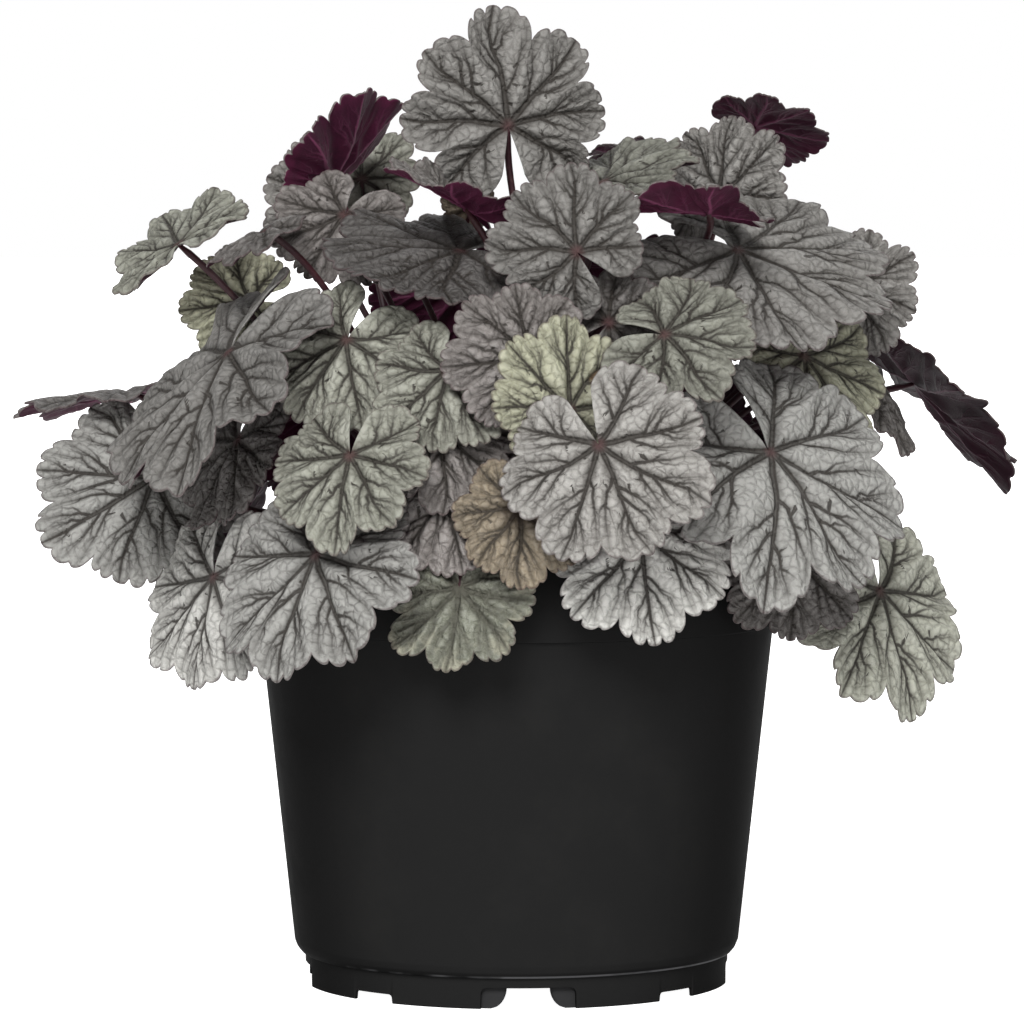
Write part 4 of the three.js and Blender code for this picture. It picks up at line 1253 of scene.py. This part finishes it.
def moulded_plastic(sizes):
    """Black plastic: dull, with a fine scuffing and a little dust.

    It has painted shade where it turns away, is greyer inside the foot, and has a painted
    highlight, broken into patches, along the shoulder's edge.
    """
    material, graph, shader = new_material("Black plastic")
    where = graph.place()
    dust = graph.step(graph.noise(where, scale=28, detail=5, roughness=0.65), 0.45, 0.8)
    scuff = graph.noise(where, scale=900, detail=2, roughness=0.6)
    ground = graph.mix(graph.times(dust, 0.04), tuple(sizes.plastic), DUST)
    # Painted highlight: a thin pale line, broken into patches, along the shoulder's edge.
    edge = (sizes.foot_height / MM + 0.5) * MM
    off_edge = graph.math("ABSOLUTE", graph.math("SUBTRACT", graph.parts(where)[2], edge))
    edge_highlight = graph.step(graph.noise(where, scale=40), 0.42, 0.6, 0.0, 0.8)
    edge_highlight = graph.times(edge_highlight, graph.step(off_edge, 0.0002, 0.0006, 1.0, 0.0))
    from_axis = graph.vector("SUBTRACT", where, tuple(POT_AXIS * MM))
    radius = graph.vector("LENGTH", graph.vector("MULTIPLY", from_axis, (1.0, 1.0, 0.0)), output="Value")
    inner = (sizes.foot_radius - 1.8 * MM, sizes.foot_radius - 1.6 * MM)
    ground = graph.mix(graph.step(radius, *inner, 0.8, 0.0), ground, INNER_PLASTIC)
    # Painted shade: the plastic is darkened towards black where it turns away, as along the pot's sides.
    facing = graph.node("ShaderNodeLayerWeight", {"Blend": 0.5}).outputs["Facing"]
    ground = graph.mix(graph.step(facing, 0.12, 0.72, 0.0, 0.8), ground, PAINTED_SIDE_SHADE)
    graph.put(shader["Base Color"], graph.mix(edge_highlight, ground, PAINTED_EDGE_HIGHLIGHT))
    rough = graph.times(scuff, 0.08, graph.times(dust, 0.1, 0.5))
    graph.put(shader["Roughness"], rough)
    shader["IOR"].default_value = 1.07
    graph.bump(shader, scuff, 0.12, 0.0002)
    return material


def damp_peat(sizes):
    """Compost: dark crumbs and a few paler specks of grit."""
    material, graph, shader = new_material("Damp peat")
    peat = tuple(sizes.peat)
    where = graph.place()
    lumps = graph.noise(where, scale=240, detail=5, roughness=0.7)
    specks = graph.step(graph.noise(where, scale=700, detail=2, roughness=0.5), 0.68, 0.74)
    ground = graph.mix(graph.step(lumps, 0.35, 0.7), blend_tint(peat, BLACK, 0.5), peat)
    graph.put(shader["Base Color"], graph.mix(specks, ground, GRIT))
    shader["Roughness"].default_value = 0.95
    graph.bump(shader, lumps, 0.9, 0.002)
    return material


def crown_bark(sizes):
    """The crown: brown papery scales, with painted shade in the hollows between them."""
    material, graph, shader = new_material("Crown bark")
    bark = tuple(sizes.bark)
    scales = graph.noise(graph.place(), scale=160, detail=4, roughness=0.65, distortion=1)
    # Painted shade: darker where the scales' bump sinks into hollows.
    hollow_shade = blend_tint(bark, BLACK, 0.6)
    graph.put(shader["Base Color"], graph.mix(graph.step(scales, 0.35, 0.7), hollow_shade, bark))
    shader["Roughness"].default_value = 0.85
    graph.bump(shader, scales, 0.9, 0.0015)
    return material


# ---- Pot, soil and crown ----


def notch_columns(sizes):
    """Angles of the pot's columns, and how high the foot's lower edge stands at each.

    The columns stand evenly all round, but inside a drain notch they follow its outline: nearly
    upright sides, rounded upper corners and a level top.
    """
    foot = sizes.foot_radius / MM
    wide = (sizes.wide_notch / MM / 2, WIDE_NOTCH_HEIGHT)
    narrow = (sizes.narrow_notch / MM / 2, NARROW_NOTCH_HEIGHT)
    angles, heights = [], []
    corner = np.linspace(0, math.pi / 2, 6)
    for i in range(NOTCHES):
        middle = NOTCH_TURN - math.pi / 2 + i * TAU / NOTCHES
        (half, high), (next_half, _) = (wide, narrow) if i % 2 == 0 else (narrow, wide)
        radius = min(NOTCH_CORNER, high / 2)
        side_x = np.concatenate([[-half - NOTCH_DRAFT], -half + radius * (1 - np.cos(corner))])
        side_z = np.concatenate([[0.0], high - radius + radius * np.sin(corner)])
        level_x = np.linspace(-half + radius, half - radius, 6)[1:-1]
        angles.append(middle + np.concatenate([side_x, level_x, -side_x[::-1]]) / foot)
        heights.append(np.concatenate([side_z, np.full(len(level_x), high), side_z[::-1]]))
        gap_end = TAU / NOTCHES - (next_half + NOTCH_MARGIN) / foot
        between = np.linspace((half + NOTCH_MARGIN) / foot, gap_end, 12)
        angles.append(middle + between)
        heights.append(np.zeros(len(between)))
    return np.concatenate(angles), np.concatenate(heights)


def rounded(points, radius, steps=3):
    """A profile whose inner corners are rounded: each corner is cut by a small quadratic arc."""
    points = np.array(points, dtype=float)
    out = [points[0]]
    t = np.linspace(0, 1, steps + 1)[:, None]
    for before, at, after in zip(points[:-2], points[1:-1], points[2:]):
        a = at + (before - at) * min(0.45, radius / np.linalg.norm(before - at))
        b = at + (after - at) * min(0.45, radius / np.linalg.norm(after - at))
        out.extend((1 - t) ** 2 * a + 2 * t * (1 - t) * at + t**2 * b)
    out.append(points[-1])
    return np.array(out)


def pot_mesh(sizes):
    """The pot turned about its axis, with its foot's lower edge following the drain notches."""
    height, rim, band = (v / MM for v in (sizes.height, sizes.rim_radius, sizes.rim_band))
    top, bottom, foot = (v / MM for v in (sizes.top_radius, sizes.bottom_radius, sizes.foot_radius))
    step, wall, edge = (v / MM for v in (sizes.foot_height, sizes.wall, sizes.edge))
    shoulder = height - band
    profile = rounded(
        [
            [0, step],
            [foot - wall, step],
            [foot - wall, 0],
            [foot, 0],
            [foot, step],
            [bottom - SHOULDER_IN, step + 0.1],
            [bottom - SHOULDER_BELLY[0], step + SHOULDER_BELLY[1]],
            [bottom + SHOULDER_FLARE, step + SHOULDER_HEIGHT],
            [top, shoulder],
            [rim - 0.1, shoulder],
            [rim, height],
            [rim - RIM_THICKNESS, height],
            [top - wall, shoulder],
            [bottom - wall + INNER_FLARE, step + wall + SHOULDER_HEIGHT],
            [bottom - wall - SHOULDER_IN, step + wall],
            [0, step + wall],
        ],
        edge,
    )
    angles, lift = notch_columns(sizes)
    order = np.argsort(angles)
    angles, lift = angles[order], lift[order]
    r = np.repeat(profile[:, :1], len(angles), 1)
    z = np.repeat(profile[:, 1:], len(angles), 1)
    low = z < step - 1
    z = np.where(low, lift + z * (step - lift) / step, z)
    return turned(r, z, angles)


def foot_plates(sizes):
    """The curved plates behind the wide notches: two in each, standing a little inside the foot.

    Each is a closed strip along the foot's inside. It starts behind the notch's upright side, and
    the lower corner of its free edge is rounded off along a quarter of an ellipse.
    """
    foot, wall = sizes.foot_radius / MM, sizes.wall / MM
    half, top = sizes.wide_notch / MM / 2, sizes.foot_height / MM - 0.2
    rows, columns = 15, 9
    z = np.linspace(0.05, top, rows)[:, None]
    climb = np.clip(z / WIDE_NOTCH_HEIGHT, 0, 1)
    free = half - PLATE_FREE[0] - PLATE_FREE[1] * np.sqrt(1 - (1 - climb) ** 2)
    across = (half + PLATE_LAP) + (free - half - PLATE_LAP) * np.linspace(0, 1, columns)[None]
    points, triangles, total = [], [], 0
    sheet = grid_triangles(rows, columns)
    i, j = np.arange(rows), np.arange(columns)
    top_row, last_column = (rows - 1) * columns, columns - 1
    edge = [j, i[1:] * columns + last_column, top_row + j[-2::-1], i[-2:0:-1] * columns]
    edge = np.concatenate(edge)
    following = np.roll(edge, -1)
    count = rows * columns
    rim = np.concatenate([
        np.stack([edge, edge + count, following], -1),
        np.stack([following, edge + count, following + count], -1),
    ])
    upright = np.broadcast_to(z, across.shape)
    for middle in NOTCH_TURN - math.pi / 2 + TAU * np.arange(0, NOTCHES, 2) / NOTCHES:
        for side in (-1, 1):
            angle = middle + side * across / (foot - PLATE_INSET)
            for gap in PLATE_GAPS:
                radius = foot - wall - gap
                ring = np.stack([radius * np.cos(angle), radius * np.sin(angle), upright], -1)
                points.append(ring.reshape(-1, 3))
            solid = np.concatenate([sheet[:, ::-1], sheet + count, rim])
            triangles.append((solid if side > 0 else solid[:, ::-1]) + total)
            total += 2 * count
    return np.concatenate(points), np.concatenate(triangles)


def soil_mesh(sizes):
    """The compost: a crumbly top about the crown's hole, and smooth sides inside the pot.

    The crumbs are a sum of waves that run in random directions, the shorter ones lower. They
    stand a little below the level, so that few rise above it, and flatten out at both edges.
    """
    level, crumbs = sizes.level / MM, sizes.crumbs / MM
    rings, columns = 62, 260
    radii = np.linspace(HOLE_RADIUS, SOIL_SIDE[-1][0], rings)
    slope = np.clip((radii - SOIL_SLOPE_START) / SOIL_SLOPE_WIDTH, 0, 1)
    top = np.stack([radii, level - SOIL_FALL * slope], -1)
    hole = [[HOLE_RADIUS, HOLE_FLOOR], [0, HOLE_FLOOR]]
    profile = np.concatenate([[[0, SOIL_FLOOR]], SOIL_SIDE, top[::-1], hole])
    angles = TAU * np.arange(columns) / columns
    r = np.repeat(profile[:, :1], columns, 1)
    z = np.repeat(profile[:, 1:], columns, 1)
    first = 1 + len(SOIL_SIDE)
    last = first + rings
    rr, aa = r[first:last], np.repeat(angles[None], rings, 0)
    x, y = rr * np.cos(aa), rr * np.sin(aa)
    rng = np.random.default_rng(5)
    lump = np.zeros_like(x)
    for _ in range(LUMP_WAVES):
        turn, phase = rng.uniform(0, TAU, 2)
        wave = rng.uniform(0.15, 1.5)
        along = x * math.cos(turn) + y * math.sin(turn)
        lump += np.sin(wave * along + phase) / (0.6 + wave)
    lump = crumbs * lump / np.abs(lump).max()
    fade = np.ones(rings)
    fade[[0, -1]] = 0.3
    z[first:last] += (lump - crumbs * 0.4) * fade[:, None]
    return turned(r, z, angles)


def crown_mesh(sites):
    """The crown: a dome on a short stem.

    Its surface swells close to every petiole's base, sinks between them and ripples all over.
    """
    columns, rings = 96, 34
    rise = np.linspace(0, math.pi / 2, rings)
    stem = [[0, CROWN_FLOOR], [CROWN_RADIUS - 0.5, CROWN_FLOOR]]
    arc = [CROWN_RADIUS * np.cos(rise), CROWN_CENTRE[2] + CROWN_RADIUS * np.sin(rise)]
    profile = np.concatenate([stem, np.stack(arc, -1)])
    profile[-1, 0] = 0
    angles = TAU * np.arange(columns) / columns
    points, triangles = turned(profile[:, 0], profile[:, 1], angles)
    out = points - CROWN_CENTRE
    out = out / np.linalg.norm(out, axis=1)[:, None]
    near = (out @ sites.T).max(1)
    dome = np.clip((points[:, 2] - CROWN_CENTRE[2] + 4) / 8, 0, 1)
    swell = SWELL * (np.exp(-(1 - near) / 0.004) - np.clip((1 - near) / 0.02, 0, 1))
    ripple = RIPPLE * np.sin(0.9 * points[:, 0] + 0.7 * points[:, 2]) * np.sin(1.1 * points[:, 1])
    return points + out * ((swell + ripple - CROWN_SINK) * dome)[:, None], triangles


# ---- Operators ----


class HEUCHERA_OT_pot(bpy.types.Operator):
    """Build the black nursery pot"""

    bl_idname = "heuchera.pot"
    bl_label = "Nursery pot"

    def execute(self, context):
        sizes = context.scene.heuchera_pot
        points, triangles = pot_mesh(sizes)
        plates, plate_triangles = foot_plates(sizes)
        triangles = np.concatenate([triangles, plate_triangles + len(points)])
        points = np.concatenate([points, plates])
        piece = new_piece("nursery_pot", points, triangles, [moulded_plastic(sizes)])
        dress(piece, "pot")
        return {"FINISHED"}


class HEUCHERA_OT_soil(bpy.types.Operator):
    """Build the crumbly compost that fills the pot"""

    bl_idname = "heuchera.soil"
    bl_label = "Compost"

    def execute(self, context):
        sizes = context.scene.heuchera_soil
        points, triangles = soil_mesh(sizes)
        piece = new_piece("crumbly_compost", points, triangles, [damp_peat(sizes)])
        dress(piece, "soil")
        return {"FINISHED"}


class HEUCHERA_OT_crown(bpy.types.Operator):
    """Build the knobbly crown that the petioles grow from"""

    bl_idname = "heuchera.crown"
    bl_label = "Crown"

    def execute(self, context):
        sizes = context.scene.heuchera_soil
        points, triangles = crown_mesh(take_sites())
        piece = new_piece("scaly_crown", points, triangles, [crown_bark(sizes)])
        dress(piece, "crown")
        return {"FINISHED"}


class HEUCHERA_OT_leaves(bpy.types.Operator):
    """Build every leaf: its veined blade with the petiole that carries it"""

    bl_idname = "heuchera.leaves"
    bl_label = "Leaves"

    def execute(self, context):
        look = context.scene.heuchera_leaves
        vein_group()
        blade_surface_group()
        uppers = {tone: upper_face(look, tone) for tone in sorted({row[TONE] for row in LEAVES})}
        under, skin = lower_face(look), petiole_skin(look)
        sites = take_sites()
        for seed, row in enumerate(LEAVES):
            name, tone = row[NAME], row[TONE]
            blade, triangles, material, maps, values = blade_mesh(row, seed, look)
            axes = np.array(leaf_axes(row))
            blade = blade @ axes + sideways(row, row[JOINT])
            stalk, stalk_triangles = petiole_mesh(petiole_route(row, sites[seed]), look)
            points = np.concatenate([blade, stalk])
            triangles = np.concatenate([triangles, stalk_triangles + len(blade)])
            material = np.concatenate([material, np.full(len(stalk_triangles), 2)])
            piece = new_piece("veined_" + name, points, triangles, [uppers[tone], under, skin], material)
            none = np.zeros((len(stalk_triangles), 3, 2))
            for key, corners in maps.items():
                add_corner_map(piece.data, key, np.concatenate([corners, none]))
            values["paleness"] = np.full(len(blade), PALENESS_AND_LIGHTING.get(name, 1.0))
            for key, value in values.items():
                add_point_value(piece.data, key, np.concatenate([value, np.zeros(len(stalk))]))
            dress(piece, name)
        return {"FINISHED"}


# ---- Stage ----


def aimed(position, target):
    """Euler angles that point a light or a camera at a target."""
    x, y, z = np.array(target, dtype=float) - np.array(position, dtype=float)
    return (math.acos(-z / math.sqrt(x * x + y * y + z * z)), 0.0, math.atan2(-x, y))


def add_sun(name, direction, softness, strength):
    """A distant soft light, whose light comes from a direction."""
    light = bpy.data.lights.new(name, "SUN")
    light.angle = math.radians(softness)
    light.energy = strength
    lamp = bpy.data.objects.new(name, light)
    lamp.location = direction
    lamp.rotation_euler = aimed(direction, (0, 0, 0))
    bpy.context.scene.collection.objects.link(lamp)


def studio_world():
    """A white backdrop for the camera, and a dimmer surround that lights the plant."""
    world = bpy.data.worlds.new("Studio")
    world.use_nodes = True
    graph = Graph(world.node_tree)
    background = world.node_tree.nodes["Background"]
    graph.put(background.inputs[0], (1, 1, 1))
    seen = graph.node("ShaderNodeLightPath").outputs["Is Camera Ray"]
    graph.put(background.inputs[1], graph.step(seen, 0.0, 1.0, SURROUND_GLOW, 1.0))
    return world


def add_camera():
    """A camera with a long lens, far in front of the pot and level with the upper leaves."""
    camera = bpy.data.cameras.new("camera")
    camera.sensor_width = SENSOR_WIDTH
    camera.lens = LENS
    camera.clip_end = CLIP_END
    eye = (POT_AXIS[0] * MM - EYE_LEFT, POT_AXIS[1] * MM - EYE_DISTANCE, EYE_HEIGHT)
    viewer = bpy.data.objects.new("camera", camera)
    viewer.location = eye
    viewer.rotation_euler = aimed(eye, (eye[0], POT_AXIS[1] * MM, AIM_HEIGHT))
    bpy.context.scene.collection.objects.link(viewer)
    return viewer


def add_floor():
    """A wide pale floor, which the camera sees as white as the backdrop."""
    across = np.linspace(-FLOOR_REACH, FLOOR_REACH, FLOOR_LINES)
    x, y = np.meshgrid(across, across)
    points = np.stack([x, y, np.zeros_like(x)], -1).reshape(-1, 3)
    material, graph, shader = new_material("Pale floor")
    shader["Base Color"].default_value = (0.92, 0.92, 0.92, 1)
    shader["Roughness"].default_value = 0.9
    shader["Emission Color"].default_value = (1, 1, 1, 1)
    seen = graph.node("ShaderNodeLightPath").outputs["Is Camera Ray"]
    graph.put(shader["Emission Strength"], graph.step(seen, 0.0, 1.0, FLOOR_GLOW, 1.0))
    faces = grid_triangles(FLOOR_LINES, FLOOR_LINES)
    floor = new_piece("pale_floor", points / MM - POT_AXIS, faces, [material])


class HEUCHERA_OT_stage(bpy.types.Operator):
    """Set up the pale floor, the soft lights and the camera"""

    bl_idname = "heuchera.stage"
    bl_label = "Stage"

    def execute(self, context):
        scene = context.scene
        add_floor()
        scene.world = studio_world()
        for sun in SUNS:
            add_sun(*sun)
        scene.camera = add_camera()
        scene.view_settings.view_transform = "Standard"
        return {"FINISHED"}


class HEUCHERA_PT_panel(bpy.types.Panel):
    """The plant's sizes, colours and build steps"""

    bl_idname = "HEUCHERA_PT_panel"
    bl_label = "Heuchera"
    bl_space_type = "VIEW_3D"
    bl_region_type = "UI"
    bl_category = "Heuchera"

    def draw(self, context):
        scene = context.scene
        for title, group, operators in (
            ("Pot", scene.heuchera_pot, ["heuchera.pot"]),
            ("Compost and crown", scene.heuchera_soil, ["heuchera.soil", "heuchera.crown"]),
            ("Leaves", scene.heuchera_leaves, ["heuchera.leaves"]),
        ):
            box = self.layout.box()
            box.label(text=title)
            for key in group.__annotations__:
                box.prop(group, key)
            for operator in operators:
                box.operator(operator)
        self.layout.operator("heuchera.stage")


PROPERTIES = {
    "heuchera_pot": HeucheraPotSizes,
    "heuchera_soil": HeucheraSoilSizes,
    "heuchera_leaves": HeucheraLeafLook,
}
CLASSES = (
    HeucheraPotSizes,
    HeucheraSoilSizes,
    HeucheraLeafLook,
    HEUCHERA_OT_pot,
    HEUCHERA_OT_soil,
    HEUCHERA_OT_crown,
    HEUCHERA_OT_leaves,
    HEUCHERA_OT_stage,
    HEUCHERA_PT_panel,
)


def register():
    for cls in CLASSES:
        bpy.utils.register_class(cls)
    for name, cls in PROPERTIES.items():
        setattr(bpy.types.Scene, name, bpy.props.PointerProperty(type=cls))


def unregister():
    for name in PROPERTIES:
        delattr(bpy.types.Scene, name)
    for cls in reversed(CLASSES):
        bpy.utils.unregister_class(cls)


def main():
    """Builds the whole plant."""
    register()
    bpy.ops.heuchera.pot()
    bpy.ops.heuchera.soil()
    bpy.ops.heuchera.crown()
    bpy.ops.heuchera.leaves()
    bpy.ops.heuchera.stage()
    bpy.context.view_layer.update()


if __name__ == "__main__":
    main()
